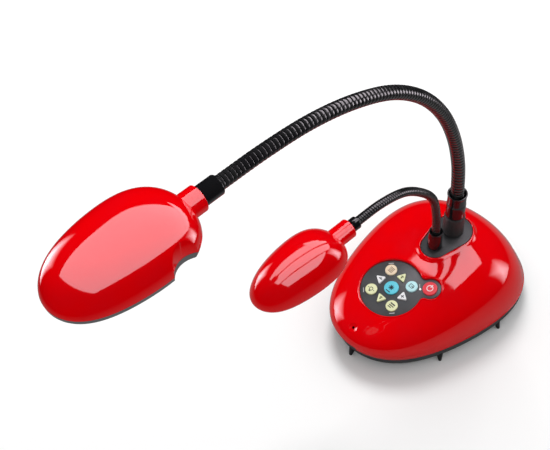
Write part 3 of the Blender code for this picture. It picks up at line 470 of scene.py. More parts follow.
def group_tree(name: str, inputs: dict[str, float], outputs: dict[str, str]) -> NodeTree:
    """New shader group with float inputs and typed outputs, and its two end nodes.

    Args:
        name: The group's name.
        inputs: Each float input and its default.
        outputs: Each output and its socket type.

    Returns:
        The group, ready for its nodes.
    """
    tree = bpy.data.node_groups.new(name, "ShaderNodeTree")
    for label, value in inputs.items():
        socket = tree.interface.new_socket(label, in_out="INPUT", socket_type="NodeSocketFloat")
        socket.default_value = value
    for label, kind in outputs.items():
        tree.interface.new_socket(label, in_out="OUTPUT", socket_type=kind)
    nodes = NodeTree(tree)
    nodes.add("NodeGroupInput")
    nodes.add("NodeGroupOutput")
    return nodes


class FinishShop:
    """Builds each finish's material once, from shared effect groups."""

    def __init__(self) -> None:
        """Start with nothing built."""
        self.materials: dict[str, bpy.types.Material] = {}
        self.groups: dict[Pattern, bpy.types.NodeTree] = {}

    def pattern_group(self, pattern: Pattern) -> bpy.types.NodeTree:
        """Group with the pattern's height and mask, made once.

        Args:
            pattern: The surface's pattern.

        Returns:
            The shared group.
        """
        makers = {
            Pattern.LACQUER: self.lacquer_group,
            Pattern.MOULDED: self.moulded_group,
            Pattern.KNURLED: self.knurled_group,
            Pattern.BRUSHED: self.brushed_group,
            Pattern.TRACED: self.traced_group,
            Pattern.PLAIN: self.lacquer_group,
        }
        if pattern not in self.groups:
            self.groups[pattern] = makers[pattern]()
        return self.groups[pattern]

    def start_group(self, name: str) -> tuple[NodeTree, dict, dict, bpy.types.NodeSocket]:
        """Group with a Grain input and Height and Mask outputs, and where its points come from.

        Args:
            name: The group's name.

        Returns:
            The group, its input and output sockets, and the object coordinates.
        """
        outputs = {"Height": "NodeSocketFloat", "Mask": "NodeSocketFloat"}
        nodes = group_tree(name, {"Grain": 1000.0}, outputs)
        ends = nodes.tree.nodes
        source, sink = ends["Group Input"].outputs, ends["Group Output"].inputs
        place = nodes.add("ShaderNodeTexCoord").outputs["Object"]
        return nodes, source, sink, place

    def drift_mask(self, nodes: NodeTree, place: bpy.types.NodeSocket, scale: float) -> bpy.types.NodeSocket:
        """Slow, soft variation from 0 to 1.

        Args:
            nodes: The group that it is made in.
            place: Where its points come from.
            scale: How fine the variation is.

        Returns:
            The variation's socket.
        """
        slow = nodes.add("ShaderNodeTexNoise", scale=scale, detail=3.0)
        nodes.link(place, slow.inputs["Vector"])
        ramp = nodes.add("ShaderNodeMapRange", from_min=0.35, from_max=0.65)
        nodes.link(slow.outputs["Fac"], ramp.inputs["Value"])
        return ramp.outputs["Result"]

    def lacquer_group(self) -> bpy.types.NodeTree:
        """Faint orange peel, and slow smudges in the gloss."""
        nodes, source, sink, place = self.start_group("lacquer_peel")
        peel = nodes.add("ShaderNodeTexNoise", detail=1.0)
        nodes.link(place, peel.inputs["Vector"])
        nodes.link(source["Grain"], peel.inputs["Scale"])
        nodes.link(peel.outputs["Fac"], sink["Height"])
        nodes.link(self.drift_mask(nodes, place, 38.0), sink["Mask"])
        return nodes.tree

    def moulded_group(self) -> bpy.types.NodeTree:
        """Fine spark-eroded grain of moulded plastic."""
        nodes, source, sink, place = self.start_group("moulded_grain")
        grain = nodes.add("ShaderNodeTexNoise", detail=4.0, roughness=0.7)
        nodes.link(place, grain.inputs["Vector"])
        nodes.link(source["Grain"], grain.inputs["Scale"])
        nodes.link(grain.outputs["Fac"], sink["Height"])
        mix = nodes.add("ShaderNodeMath", operation="MULTIPLY")
        nodes.link(self.drift_mask(nodes, place, 55.0), mix.inputs[0])
        nodes.link(grain.outputs["Fac"], mix.inputs[1])
        nodes.link(mix.outputs["Value"], sink["Mask"])
        return nodes.tree

    def knurled_group(self) -> bpy.types.NodeTree:
        """Close speckle of raised points."""
        nodes, source, sink, place = self.start_group("knurled_points")
        points = nodes.add("ShaderNodeTexVoronoi", feature="F1", randomness=0.55)
        nodes.link(place, points.inputs["Vector"])
        nodes.link(source["Grain"], points.inputs["Scale"])
        ramp = nodes.add("ShaderNodeMapRange", from_min=0.15, from_max=0.6, to_min=1.0, to_max=0.0)
        nodes.link(points.outputs["Distance"], ramp.inputs["Value"])
        nodes.link(ramp.outputs["Result"], sink["Height"])
        nodes.link(ramp.outputs["Result"], sink["Mask"])
        return nodes.tree

    def brushed_group(self) -> bpy.types.NodeTree:
        """Fine lines along X."""
        nodes, source, sink, place = self.start_group("brushed_lines")
        stretch = nodes.add("ShaderNodeMapping", scale=(0.04, 1.0, 1.0))
        nodes.link(place, stretch.inputs["Vector"])
        lines = nodes.add("ShaderNodeTexNoise", detail=3.0)
        nodes.link(stretch.outputs["Vector"], lines.inputs["Vector"])
        nodes.link(source["Grain"], lines.inputs["Scale"])
        nodes.link(lines.outputs["Fac"], sink["Height"])
        nodes.link(lines.outputs["Fac"], sink["Mask"])
        return nodes.tree

    def traced_group(self) -> bpy.types.NodeTree:
        """Copper traces under the solder mask, as thin lines round blocks."""
        nodes, source, sink, place = self.start_group("board_traces")
        bricks = nodes.add("ShaderNodeTexBrick", mortar_size=0.03, brick_width=0.7, row_height=0.3)
        nodes.link(place, bricks.inputs["Vector"])
        nodes.link(source["Grain"], bricks.inputs["Scale"])
        nodes.link(bricks.outputs["Fac"], sink["Height"])
        nodes.link(bricks.outputs["Fac"], sink["Mask"])
        return nodes.tree

    def material(self, finish: Finish) -> bpy.types.Material:
        """Material of a finish.

        Args:
            finish: What it looks like.

        Returns:
            The material, built the first time that it is asked for.
        """
        if finish.name in self.materials:
            return self.materials[finish.name]
        made = bpy.data.materials.new(finish.name)
        made.use_nodes = True
        nodes = NodeTree(made.node_tree)
        shader = made.node_tree.nodes["Principled BSDF"]
        pattern = nodes.add("ShaderNodeGroup", node_tree=self.pattern_group(finish.pattern))
        pattern.inputs["Grain"].default_value = finish.grain
        tint = nodes.add("ShaderNodeMix", data_type="RGBA")
        tint.inputs["A"].default_value = (*finish.colour, 1.0)
        tint.inputs["B"].default_value = (*finish.drift, 1.0)
        nodes.link(pattern.outputs["Mask"], tint.inputs["Factor"])
        nodes.link(tint.outputs["Result"], shader.inputs["Base Color"])
        gloss = nodes.add("ShaderNodeMapRange", to_min=finish.rough[0], to_max=finish.rough[1])
        nodes.link(pattern.outputs["Mask"], gloss.inputs["Value"])
        nodes.link(gloss.outputs["Result"], shader.inputs["Roughness"])
        if finish.pattern is not Pattern.PLAIN:
            bump = nodes.add("ShaderNodeBump", strength=1.0, distance=finish.relief)
            nodes.link(pattern.outputs["Height"], bump.inputs["Height"])
            nodes.link(bump.outputs["Normal"], shader.inputs["Normal"])
        shader.inputs["Metallic"].default_value = finish.metallic
        shader.inputs["IOR"].default_value = finish.ior
        shader.inputs["Coat Weight"].default_value = finish.coat
        shader.inputs["Coat Roughness"].default_value = 0.02
        shader.inputs["Sheen Weight"].default_value = finish.sheen
        shader.inputs["Transmission Weight"].default_value = finish.transmission
        if finish.glow:
            shader.inputs["Emission Color"].default_value = (*finish.colour, 1.0)
            shader.inputs["Emission Strength"].default_value = finish.glow
        self.materials[finish.name] = made
        return made


SHOP = FinishShop()


def add_piece(mesh: bpy.types.Mesh, finish: Finish, body: str | None, *nodes: str) -> bpy.types.Object:
    """Show a mesh as a piece with its finish.

    Args:
        mesh: The final mesh, in the frame's own place; its name is the piece's.
        finish: Its finish.
        body: The body that it rides on, or None for a piece that rides on no body.
        *nodes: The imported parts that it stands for.

    Returns:
        The new object.
    """
    piece = bpy.data.objects.new(mesh.name, mesh)
    bpy.context.scene.collection.objects.link(piece)
    mesh.materials.clear()
    mesh.materials.append(SHOP.material(finish))
    if body:
        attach(piece, body)
    if nodes:
        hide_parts(*nodes)
    LOG.info("%s: %d faces on %s", piece.name, len(mesh.polygons), body or "two bodies")
    return piece


# ---- Egg-shaped domes -------------------------------------------------------------------------
@dataclass(frozen=True)
class Egg:
    """Egg outline whose width grows towards +Y."""

    half_length: float
    half_width: float
    taper: float
    fullness: float

    def point(self, angle: float, inset: float = 0.0, scale: float = 1.0) -> Vector:
        """Point of the outline about its middle, moved in by inset."""
        t = math.sin(angle)
        width = (self.half_width - inset) * (1 + self.taper * t + self.fullness * t * t)
        return scale * Vector((width * math.cos(angle), (self.half_length - inset) * t, 0.0))

    def outline(self, count: int, inset: float = 0.0, scale: float = 1.0) -> Ring:
        """The whole outline."""
        return [self.point(2 * math.pi * i / count, inset, scale) for i in range(count)]


@dataclass(frozen=True)
class Dome:
    """Dome over an egg; a negative rise makes a bowl. It may lean and slope along Y."""

    egg: Egg
    rise: float
    power: float
    root: float
    lean: float = 0.0
    slope: float = 0.0
    grading: float = 0.8

    def point(self, rho: float, angle: float, inset: float = 0.0, wall: float = 0.0) -> Vector:
        """Point at a share rho of the way to the rim.

        Args:
            rho: 0 at the top and 1 at the rim.
            angle: Direction round the egg.
            inset: How far the egg is moved in.
            wall: How much lower the dome is.

        Returns:
            The point about the middle of the rim.
        """
        share = max(0.0, 1 - rho**self.power) ** (1 / self.root)
        place = self.egg.point(angle, inset) * rho
        place.y -= self.lean * share
        height = self.rise - math.copysign(wall, self.rise) + self.slope * place.y
        return Vector((place.x, place.y, height * share))

    def rings(self, count: int, segments: int, inset: float = 0.0, wall: float = 0.0) -> list[Ring]:
        """Rings from near the top down to the rim."""
        shares = [math.sin(math.pi / 2 * k / count) ** self.grading for k in range(1, count + 1)]
        turns = [2 * math.pi * i / segments for i in range(segments)]
        return [[self.point(rho, turn, inset, wall) for turn in turns] for rho in shares]

    def body(self, name: str, count: int, segments: int, inset: float = 0.0, wall: float = 0.0,
             skirt: Sequence[tuple[float, float]] = ()) -> bpy.types.Mesh:
        """Closed body of the dome.

        Args:
            name: The mesh's name.
            count: Rings between the top and the rim.
            segments: Points in each ring.
            inset: How far the egg is moved in.
            wall: How much lower the dome is.
            skirt: (inset, height) of further rings below the rim's own level.

        Returns:
            The body, closed flat at its last ring.
        """
        rings = self.rings(count, segments, inset, wall)
        for more, height in skirt:
            rings.append([p + Vector((0, 0, height)) for p in self.egg.outline(segments, inset + more)])
        return loft(name, rings, self.point(0.0, 0.0, inset, wall), True)


class Surface:
    """Heights of a finished skin, read by rays along a frame's own Z."""

    def __init__(self, mesh: bpy.types.Mesh, reach: float = 0.05) -> None:
        """Read a mesh; reach is how far above the frame's plane the rays start."""
        points = [vert.co for vert in mesh.vertices]
        self.tree = BVHTree.FromPolygons(points, [tuple(face.vertices) for face in mesh.polygons])
        self.reach = reach

    def height(self, place: Matrix, x: float, y: float) -> float:
        """Height of the skin above (x, y) of the frame."""
        start = place @ Vector((x, y, self.reach))
        down = place.to_3x3() @ Vector((0.0, 0.0, -1.0))
        return self.reach - self.tree.ray_cast(start, down)[3]

    def normal_at(self, place: Matrix) -> tuple[Vector, Vector]:
        """Point and normal of the skin on a frame's own Z axis."""
        start = place @ Vector((0.0, 0.0, self.reach))
        down = place.to_3x3() @ Vector((0.0, 0.0, -1.0))
        point, normal, _, _ = self.tree.ray_cast(start, down)
        return point, normal


@dataclass(frozen=True)
class RimStep:
    """One line of a rim's section: how far out it is, how much it follows the skin, and its lift."""

    grow: float
    follow: float
    lift: float


def rim(
    name: str, outline: Outline, steps: Sequence[RimStep], skin: Surface, place: Matrix,
) -> bpy.types.Mesh:
    """Closed edging round a hole in a curved skin.

    Args:
        name: The mesh's name.
        outline: Gives the hole's points, grown outwards.
        steps: The section, all the way round.
        skin: The curved skin.
        place: The hole's frame.

    Returns:
        The edging, in the row frame.
    """
    rings = []
    for step in steps:
        ring = []
        for p in outline(step.grow):
            height = step.follow * skin.height(place, p.x, p.y) if step.follow else 0.0
            ring.append(place @ Vector((p.x, p.y, height + step.lift)))
        rings.append(ring)
    return loft(name, rings, wrap=True)


def quarter_round(radius: float, inner: float, count: int = 6) -> list[RimStep]:
    """Steps of a rounded edge that turns from the skin down into the hole."""
    turns = [math.pi / 2 * i / count for i in range(count + 1)]
    return [
        RimStep(inner + radius * (1 - math.sin(t)), 1.0, -radius * (1 - math.cos(t))) for t in turns
    ]


# ---- Base -------------------------------------------------------------------------------------
@dataclass
class BaseShell:
    """Glossy red dome of the base, with rolled edges round its openings."""

    egg: Egg = Egg(0.0981, 0.0717, 0.20, 0.205)
    rise: float = 0.0504
    wall: float = 0.0022
    lip_inset: float = 0.00025
    lip_height: float = 0.0012
    segments: int = 224
    count: int = 60
    keypad_edge: float = 0.0022
    plate_flare: float = 0.0052
    bay: tuple[float, float, float] = (-0.0240, 0.0120, 0.0090)
    mic_radius: float = 0.0013
    mic_dish: tuple[float, float] = (0.0048, 0.0012)
    mic_ahead: float = 0.0934
    port_rise: float = 0.0156
    ports: tuple[tuple[float, float, float], ...] = (
        (-0.024, 0.0108, 0.0118), (0.0, 0.0130, 0.0120), (0.026, 0.0248, 0.0118),
    )
    place: Matrix = field(init=False)
    dome: Dome = field(init=False)

    def __post_init__(self) -> None:
        """Find the rim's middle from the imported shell."""
        low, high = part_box("base_shell")
        self.place = Matrix.Translation((0.0, (low.y + high.y) / 2, low.z))
        self.dome = Dome(self.egg, self.rise, 3.7, 2.05, 0.021, 0.226)

    def skin(self) -> bpy.types.Mesh:
        """Closed dome with a lip round its lower edge and a hollow inside."""
        outer = self.dome.rings(self.count, self.segments, self.lip_inset)
        kept = [ring for ring in outer if max(p.z for p in ring) > self.lip_height + 0.0006]
        rim_ring = self.egg.outline(self.segments, self.lip_inset)
        edge = self.egg.outline(self.segments, 0.00005)
        levels = (
            (rim_ring, self.lip_height + 0.0003),
            (self.egg.outline(self.segments, self.lip_inset + 0.0001), self.lip_height + 0.0001),
            (self.egg.outline(self.segments, self.lip_inset + 0.0001), self.lip_height),
            (edge, self.lip_height - 0.0002),
            (edge, 0.0004),
            (self.egg.outline(self.segments, 0.0003), 0.0),
        )
        for ring, height in levels:
            kept.append([p + Vector((0.0, 0.0, height)) for p in ring])
        inner = self.dome.rings(24, self.segments, self.wall, self.wall)[::-1]
        first, last = self.dome.point(0.0, 0.0), self.dome.point(0.0, 0.0, self.wall, self.wall)
        return moved(loft("base_dome", kept + inner, first, last), self.place)

    def bay_cutter(self) -> bpy.types.Mesh:
        """Opening at the front whose upper corners are rounded."""
        left, right, height = self.bay
        corners = ((left - 0.0022, -0.002), (left - 0.0014, 0.0016), (left + 0.0006, height),
                   (right - 0.0006, height), (right, 0.0030),
                   (right + 0.0016, 0.0014), (right + 0.0018, -0.002))
        outline = [Vector((x, z, 0.0)) for x, z in rounded(corners, 0.0024, True, 6)]
        return moved(prism("bay", outline, 0.080, 0.125), self.place @ UPRIGHT_TO_FRONT)

    def port_cutters(self) -> list[bpy.types.Mesh]:
        """Openings with round corners for the connectors at the back."""
        cutters = []
        for x, width, height in self.ports:
            outline = rounded_box(width, height, 0.0008)
            place = self.place @ Matrix.Translation((x, 0.120, self.port_rise))
            cutters.append(moved(prism("port", outline, 0.0, 0.060), place @ UPRIGHT_TO_FRONT))
        return cutters

    def mic_cutters(self, skin: Surface) -> list[bpy.types.Mesh]:
        """Round hole and the shallow dish round it, square to the skin.

        Args:
            skin: The dome's outside.

        Returns:
            The dish's cutter and the hole's cutter.
        """
        spot = self.place @ Matrix.Translation((0.0, -self.mic_ahead, 0.0))
        point, normal = skin.normal_at(spot)
        square = Matrix.Translation(point) @ normal.to_track_quat("Z", "Y").to_matrix().to_4x4()
        wide, deep = self.mic_dish
        bowl = [(0.0, -deep)]
        for share in (0.2, 0.4, 0.6, 0.8, 0.95, 1.05):
            bowl.append((wide * share, -deep * (1 - share * share) + 0.0001 * share * share))
        bowl += [(0.0051, 0.003), (0.0, 0.003)]
        dish = moved(turned("mic_dish", bowl, 48), square)
        bore = ((0.0, -0.006), (self.mic_radius, -0.006), (self.mic_radius, 0.002), (0.0, 0.002))
        hole = moved(turned("mic_hole", bore, 32), square)
        return [dish, hole]

    def build(self, keypad: "Keypad", arms: "ArmMounts") -> None:
        """Cut the dome, edge its openings and show it.

        Args:
            keypad: Gives the keypad's opening.
            arms: Gives the arm plate's opening.
        """
        shell = self.skin()
        skin = Surface(shell)
        edge = self.keypad_edge
        hole = moved(prism("keypad_hole", keypad.outline(edge + 0.0001), -0.012, 0.014), keypad.place)
        shell = carve(shell, hole)
        hole = moved(prism("plate_hole", arms.outline(self.plate_flare - 0.0002), -0.014, 0.014), arms.place)
        shell = carve(shell, hole)
        for cutter in (self.bay_cutter(), *self.port_cutters(), *self.mic_cutters(skin)):
            shell = carve(shell, cutter)
        add_piece(shell, RED_LACQUER, "base", "base_shell")
        steps = [RimStep(edge + 0.0004, 1.0, -0.000004), RimStep(edge + 0.0001, 1.0, 0.0)]
        raised, ramp = 0.0005, 0.0007
        steps += [RimStep(edge - ramp * t, 1.0, raised * t * t * (3 - 2 * t)) for t in (0.25, 0.5, 0.75)]
        turned_edge = quarter_round(edge - ramp - 0.0003, 0.0003)
        steps += [RimStep(step.grow, step.follow, step.lift + raised) for step in turned_edge]
        steps += [RimStep(0.0003, 0.0, -0.0024), RimStep(edge + 0.0004, 1.0, -0.0019)]
        add_piece(rim("keypad_recess_edge", keypad.outline, steps, skin, keypad.place), RED_LACQUER, "base")
        add_piece(rim("arm_plate_lip", arms.outline, self.lip_steps(), skin, arms.place), RED_LACQUER, "base")

    def lip_steps(self) -> list[RimStep]:
        """Section of the lip that rises from the dome to the arm plate."""
        flare, low, top = self.plate_flare, 0.0004, 0.0005
        steps = [RimStep(flare + 0.0003, 1.0, -0.000004)]
        for i in range(9):
            share = i / 8
            blend = share * share * (3 - 2 * share)
            steps.append(RimStep(flare - (flare - 0.0010) * share, 1.0 - blend, top * blend))
        turns = [math.pi / 2 * i / 5 for i in range(1, 6)]
        for t in turns:
            steps.append(RimStep(0.0010 - 0.0006 * math.sin(t), 0.0, top - 0.0006 * (1 - math.cos(t))))
        return steps + [RimStep(low, 0.0, -0.0030), RimStep(flare + 0.0003, 1.0, -0.0019)]


def rounded_box(width: float, height: float, radius: float) -> Ring:
    """Outline of a box with round corners, about its middle."""
    side, up = width / 2, height / 2
    corners = ((-side, -up), (side, -up), (side, up), (-side, up))
    return [Vector((x, y, 0.0)) for x, y in rounded(corners, radius, True, 5)]


@dataclass
class BaseUnderside:
    """Tray, front insert and pointed legs."""

    egg: Egg = Egg(0.0981, 0.0717, 0.20, 0.205)
    inset: float = 0.0009
    depth: float = 0.0112
    wall: float = 0.0022
    segments: int = 192
    teeth: int = 9
    slot: tuple[float, float, float] = (33.0, 0.0096, 0.0036)
    bay: tuple[float, float] = (-0.0236, 0.0116)
    bay_height: float = 0.0086
    bay_insets: tuple[float, float] = (0.0012, 0.0100)
    seam_x: float = 0.0080
    leg_angles: tuple[float, ...] = (-90.0, -155.0, -25.0, 164.5, 15.5)
    leg_insets: tuple[float, float] = (0.0019, 0.0050)
    leg_radii: tuple[float, float] = (0.0016, 0.0036)
    leg_height: float = 0.0110
    place: Matrix = field(init=False)

    def __post_init__(self) -> None:
        """Find the tray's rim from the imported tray."""
        low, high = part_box("base_tray")
        self.place = Matrix.Translation((0.0, (low.y + high.y) / 2, high.z))

    def side_frame(self, degrees: float) -> Matrix:
        """Frame on the tray's rim whose X axis points out of it."""
        turn = math.radians(degrees)
        spot = self.egg.point(turn, self.inset)
        ahead = self.egg.point(turn + 0.01, self.inset) - spot
        return self.place @ Matrix.Translation(spot) @ Matrix.Rotation(math.atan2(-ahead.x, ahead.y), 4, "Z")

    def tray(self) -> None:
        """Bowl with a slot in its side and a row of vents low between two legs."""
        bowl = Dome(self.egg, -self.depth, 60.0, 3.0, grading=0.25)
        outer = bowl.rings(40, self.segments, self.inset)
        inner = bowl.rings(14, self.segments, self.inset + self.wall, self.wall)[::-1]
        first, last = bowl.point(0.0, 0.0, self.inset), bowl.point(0.0, 0.0, self.inset, self.wall)
        mesh = moved(loft("base_tray_bowl", outer + inner, first, last), self.place)
        for i in range(self.teeth):
            vent = box("vent", (-0.0030, -0.0008, -self.depth - 0.001), (0.002, 0.0008, -self.depth + 0.0022))
            mesh = carve(mesh, moved(vent, self.side_frame(-17.5 + 3.3 * i)))
        degrees, width, height = self.slot
        slot = box("slot", (-0.006, -width / 2, -0.0006 - height), (0.002, width / 2, -0.0006))
        mesh = carve(mesh, moved(slot, self.side_frame(degrees)))
        add_piece(mesh, TRAY_PLASTIC, "base", "base_tray")

    def insert(self) -> None:
        """Scooped filler of the front opening, with a seam near its right end."""
        left, right = self.bay
        outer, inner = self.bay_insets
        turns = [t for t in (math.radians(200 + 0.5 * i) for i in range(281))
                 if left <= self.egg.point(t, outer).x <= right]
        rings = []
        for turn in turns:
            ring = [self.egg.point(turn, inner) + Vector((0.0, 0.0, z)) for z in (self.bay_height, GAP)]
            for k in range(13):
                share = k / 12
                scoop = 0.0026 * math.sin(math.pi * share) ** 1.3
                point = self.egg.point(turn, outer + scoop - 0.0022 * share * share)
                ring.append(point + Vector((0.0, 0.0, GAP + (self.bay_height - GAP) * share)))
            rings.append(ring)
        mesh = moved(loft("front_bay_filler", rings, True, True), self.place)
        seam = box("seam", (self.seam_x - 0.00015, -0.110, -0.001), (self.seam_x + 0.00015, -0.0935, 0.012))
        add_piece(carve(mesh, moved(seam, self.place)), TRAY_PLASTIC, "base", "front_bay")

    def legs(self) -> None:
        """Pointed legs that splay out to the base's edge."""
        tip, root = self.leg_radii
        for number, degrees in enumerate(self.leg_angles, 1):
            name = f"foot_{number}"
            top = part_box(name)[1].z - 0.0001
            foot, head = (self.egg.point(math.radians(degrees), inset) for inset in self.leg_insets)
            lean = (head - foot) / self.leg_height
            shape = [(0.0, 0.0), (tip - 0.0004, 0.0), (tip - 0.0001, 0.0001), (tip, 0.0005)]
            shape += [(tip + (root - tip) * t, t * self.leg_height) for t in (0.3, 0.5, 0.7)]
            shape = [point for point in shape if point[1] < top - 0.0004]
            shape += [(tip + (root - tip) * top / self.leg_height, top), (0.0, top)]
            mesh = turned(name + "_leg", shape, 40)
            for vert in mesh.vertices:
                vert.co += lean * vert.co.z
            middle = self.place.translation + foot
            add_piece(moved(mesh, Matrix.Translation((middle.x, middle.y, 0.0))), FOOT_RUBBER, "base", name)

    def build(self) -> None:
        """Make everything under the dome's edge."""
        self.tray()
        self.insert()
        self.legs()


@dataclass
class Connectors:
    """Power, square data and video connectors at the back."""

    wall: float = 0.0008

    def socket(
        self, node: str, finish: Finish, mouth: tuple[float, float], tongue: tuple[float, float] | None,
    ) -> None:
        """Body with an open mouth.

        Args:
            node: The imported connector.
            finish: The body's finish.
            mouth: Width and height of its mouth.
            tongue: Width and height of the tongue with the contacts, or None for a pin.
        """
        low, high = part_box(node)
        size, middle = high - low, (low + high) / 2
        back = Matrix.Translation((middle.x, high.y, middle.z)) @ Matrix.Rotation(math.radians(90), 4, "X")
        body = plate(node + "_body", lambda grow: rounded_box(size.x + 2 * grow, size.z + 2 * grow, 0.0008),
                     0.0, size.y, 0.0003)
        depth = size.y - 0.0020
        body = carve(body, prism("mouth", rounded_box(*mouth, 0.0006), -0.001, depth))
        add_piece(moved(body, back), finish, "base", node)
        if tongue is None:
            shape = ((0.0, 0.0015), (0.0010, 0.0015), (0.0010, depth + 0.001), (0.0, depth + 0.001))
            pin = turned(node + "_pin", rounded(shape, 0.0004), 24)
            add_piece(moved(pin, back), STEEL, "base")
            return
        width, height = tongue
        bar = plate(node + "_tongue", lambda grow: rounded_box(width + 2 * grow, height + 2 * grow, 0.0003),
                    0.0012, depth + 0.001, 0.0002)
        add_piece(moved(bar, back), BLACK_GLOSS, "base")
        count = 4 if width < 0.008 else 9
        strips = []
        for i in range(count):
            x = width * ((i + 0.5) / count - 0.5)
            strips.append(box("strip", (x - 0.12 * width / count, height / 2 - 0.0002, 0.0016),
                              (x + 0.28 * width / count, height / 2 + 0.0001, depth)))
        add_piece(moved(merged(node + "_contacts", strips), back), GOLD, "base")

    def build(self) -> None:
        """Make the three connectors."""
        self.socket("power_jack", BLACK_GLOSS, (0.0064, 0.0064), None)
        self.socket("usb_port", STEEL, (0.0086, 0.0078), (0.0056, 0.0030))
        self.socket("video_port", STEEL, (0.0180, 0.0060), (0.0140, 0.0012))


# ---- Keypad -----------------------------------------------------------------------------------
class Icon(Enum):
    """Generic sign on a key."""

    FLAKE = auto()
    SOURCE = auto()
    LIST = auto()
    LAMP = auto()
    FLASH = auto()
    PLUS = auto()
    MINUS = auto()
    TREE = auto()
    POWER = auto()


@dataclass(frozen=True)
class Key:
    """One key: its cap, what is on it, and where its label bar lies."""

    node: str
    finish: Finish
    icon: Icon
    ink: Finish
    size: float = 0.0
    angle: float | None = None


@dataclass
class Keypad:
    """Round panel with its keys, in the panel's tilted frame."""

    radius: float = 0.0287
    lobe_centre: tuple[float, float] = (0.0270, 0.0223)
    lobe_radius: float = 0.0100
    fillet: float = 0.0050
    thickness: float = 0.0020
    key_gap: float = 0.00028
    corner: float = 0.0009
    place: Matrix = field(init=False)
    key_top: float = field(init=False)
    keys: tuple[Key, ...] = (
        Key("key_centre", KEY_CYAN, Icon.FLAKE, DARK_INK),
        Key("key_source", KEY_PALE_CYAN, Icon.SOURCE, DARK_INK),
        Key("key_menu", KEY_CREAM, Icon.LIST, BROWN_INK),
        Key("key_lamp", KEY_YELLOW, Icon.LAMP, DARK_INK),
        Key("key_auto", KEY_YELLOW, Icon.FLASH, DARK_INK),
        Key("key_right", KEY_WHITE, Icon.PLUS, DARK_INK, 0.0056, 0.0),
        Key("key_up", KEY_YELLOW, Icon.TREE, OLIVE_INK, 0.0056, 90.0),
        Key("key_left", KEY_WHITE, Icon.MINUS, DARK_INK, 0.0056, 180.0),
        Key("key_down", KEY_YELLOW, Icon.TREE, OLIVE_INK, 0.0056, 270.0),
        Key("key_power", KEY_RED, Icon.POWER, WHITE_INK),
    )

    def __post_init__(self) -> None:
        """Find the panel's frame from the centre key and the panel's top."""
        axis = next(j["axis"] for j in frame["joints"] if j["child"] == "key_centre")
        turn = Matrix.Rotation(math.atan2(-axis[1], axis[2]), 4, "X")
        low, high = spans("key_centre", turn)
        top = spans("keypad_panel", turn)[1].z
        middle = (low + high) / 2
        self.place = turn @ Matrix.Translation((0.0, middle.y, top))
        self.key_top = high.z - top

    def outline(self, grow: float = 0.0) -> Ring:
        """Round panel with a side lobe, joined by two fillets.

        Args:
            grow: How far the outline is moved outwards.

        Returns:
            The outline, in the panel's frame.
        """
        middle, lobe_centre = Vector((0.0, 0.0, 0.0)), Vector((*self.lobe_centre, 0.0))
        radius, lobe, fillet = self.radius + grow, self.lobe_radius + grow, self.fillet - grow
        near, far, distance = radius + fillet, lobe + fillet, lobe_centre.length
        swing = math.acos((distance**2 + near**2 - far**2) / (2 * distance * near))
        towards = math.atan2(lobe_centre.y, lobe_centre.x)
        sides = []
        for turn in (towards - swing, towards + swing):
            centre = near * Vector((math.cos(turn), math.sin(turn), 0.0))
            on_lobe = lobe_centre + (centre - lobe_centre) * lobe / far
            sides.append((centre, centre * radius / near, on_lobe))
        (low, low_round, low_lobe), (high, high_round, high_lobe) = sides
        points = arc_from(middle, high_round, low_round, 1, 120)
        points += arc_from(low, low_round, low_lobe, -1, 16)
        points += arc_from(lobe_centre, low_lobe, high_lobe, 1, 48)
        return points + arc_from(high, high_lobe, high_round, -1, 16)

    def key_spot(self, key: Key) -> tuple[Vector, float]:
        """Middle of a key in the panel's frame, and a round key's radius.

        Args:
            key: The key.

        Returns:
            The key's middle, and its radius or size.
        """
        low, high = spans(key.node, self.place)
        if key.angle is None:
            return Vector(((low.x + high.x) / 2, (low.y + high.y) / 2, 0.0)), (high.x - low.x) / 2 - 0.0009
        turn = math.radians(key.angle)
        out = Vector((math.cos(turn), math.sin(turn), 0.0))
        return 0.0139 * out, key.size

    def key_outline(self, key: Key, size: float, grow: float = 0.0) -> Ring:
        """Circle, or triangle with round corners that points outwards.

        Args:
            key: The key.
            size: A round key's radius.
            grow: How far the outline is moved outwards.

        Returns:
            The outline, about the key's middle.
        """
        if key.angle is None:
            return circle(size + grow, 72)
        reach = key.size - 2 * self.corner
        points = []
        for i in range(3):
            turn = key.angle + 120.0 * i
            out = Vector((math.cos(math.radians(turn)), math.sin(math.radians(turn)), 0.0))
            points += arc(reach * out, self.corner + grow, turn - 60, turn + 60, 12)
            side = math.radians(turn + 60)
            across = Vector((math.cos(side), math.sin(side), 0.0))
            flat = across * (0.5 * reach + self.corner + grow)
            along = Vector((-across.y, across.x, 0.0)) * reach * math.sqrt(3) / 2
            points += [flat + along * share for share in (-0.66, -0.33, 0.0, 0.33, 0.66)]
        return points

    def cap(self, key: Key, size: float) -> bpy.types.Mesh:
        """Cap whose edge is rounded and whose top is slightly domed or dished.

        Args:
            key: The key.
            size: A round key's radius.

        Returns:
            The cap, about the key's middle.
        """
        crown = 0.00018 if key.angle is None else -0.00012
        edge, top = 0.0005, self.key_top - (0.00018 if key.angle is None else 0.0)
        sections = [(-0.0024, 0.0), (-0.0018, 0.0), (top - edge, 0.0)]
        turns = [math.pi / 2 * i / 4 for i in range(1, 5)]
        sections += [(top - edge * (1 - math.sin(t)), -edge * (1 - math.cos(t))) for t in turns]
        rings = []
        for z, grow in sections:
            rings.append([Vector((p.x, p.y, z)) for p in self.key_outline(key, size, grow)])
        for share in (0.85, 0.65, 0.4, 0.2):
            height = top + crown * (1 - share * share)
            edge_ring = self.key_outline(key, size, -edge)
            rings.append([Vector((share * p.x, share * p.y, height)) for p in edge_ring])
        return loft(key.node + "_cap", rings, True, Vector((0.0, 0.0, top + crown)))

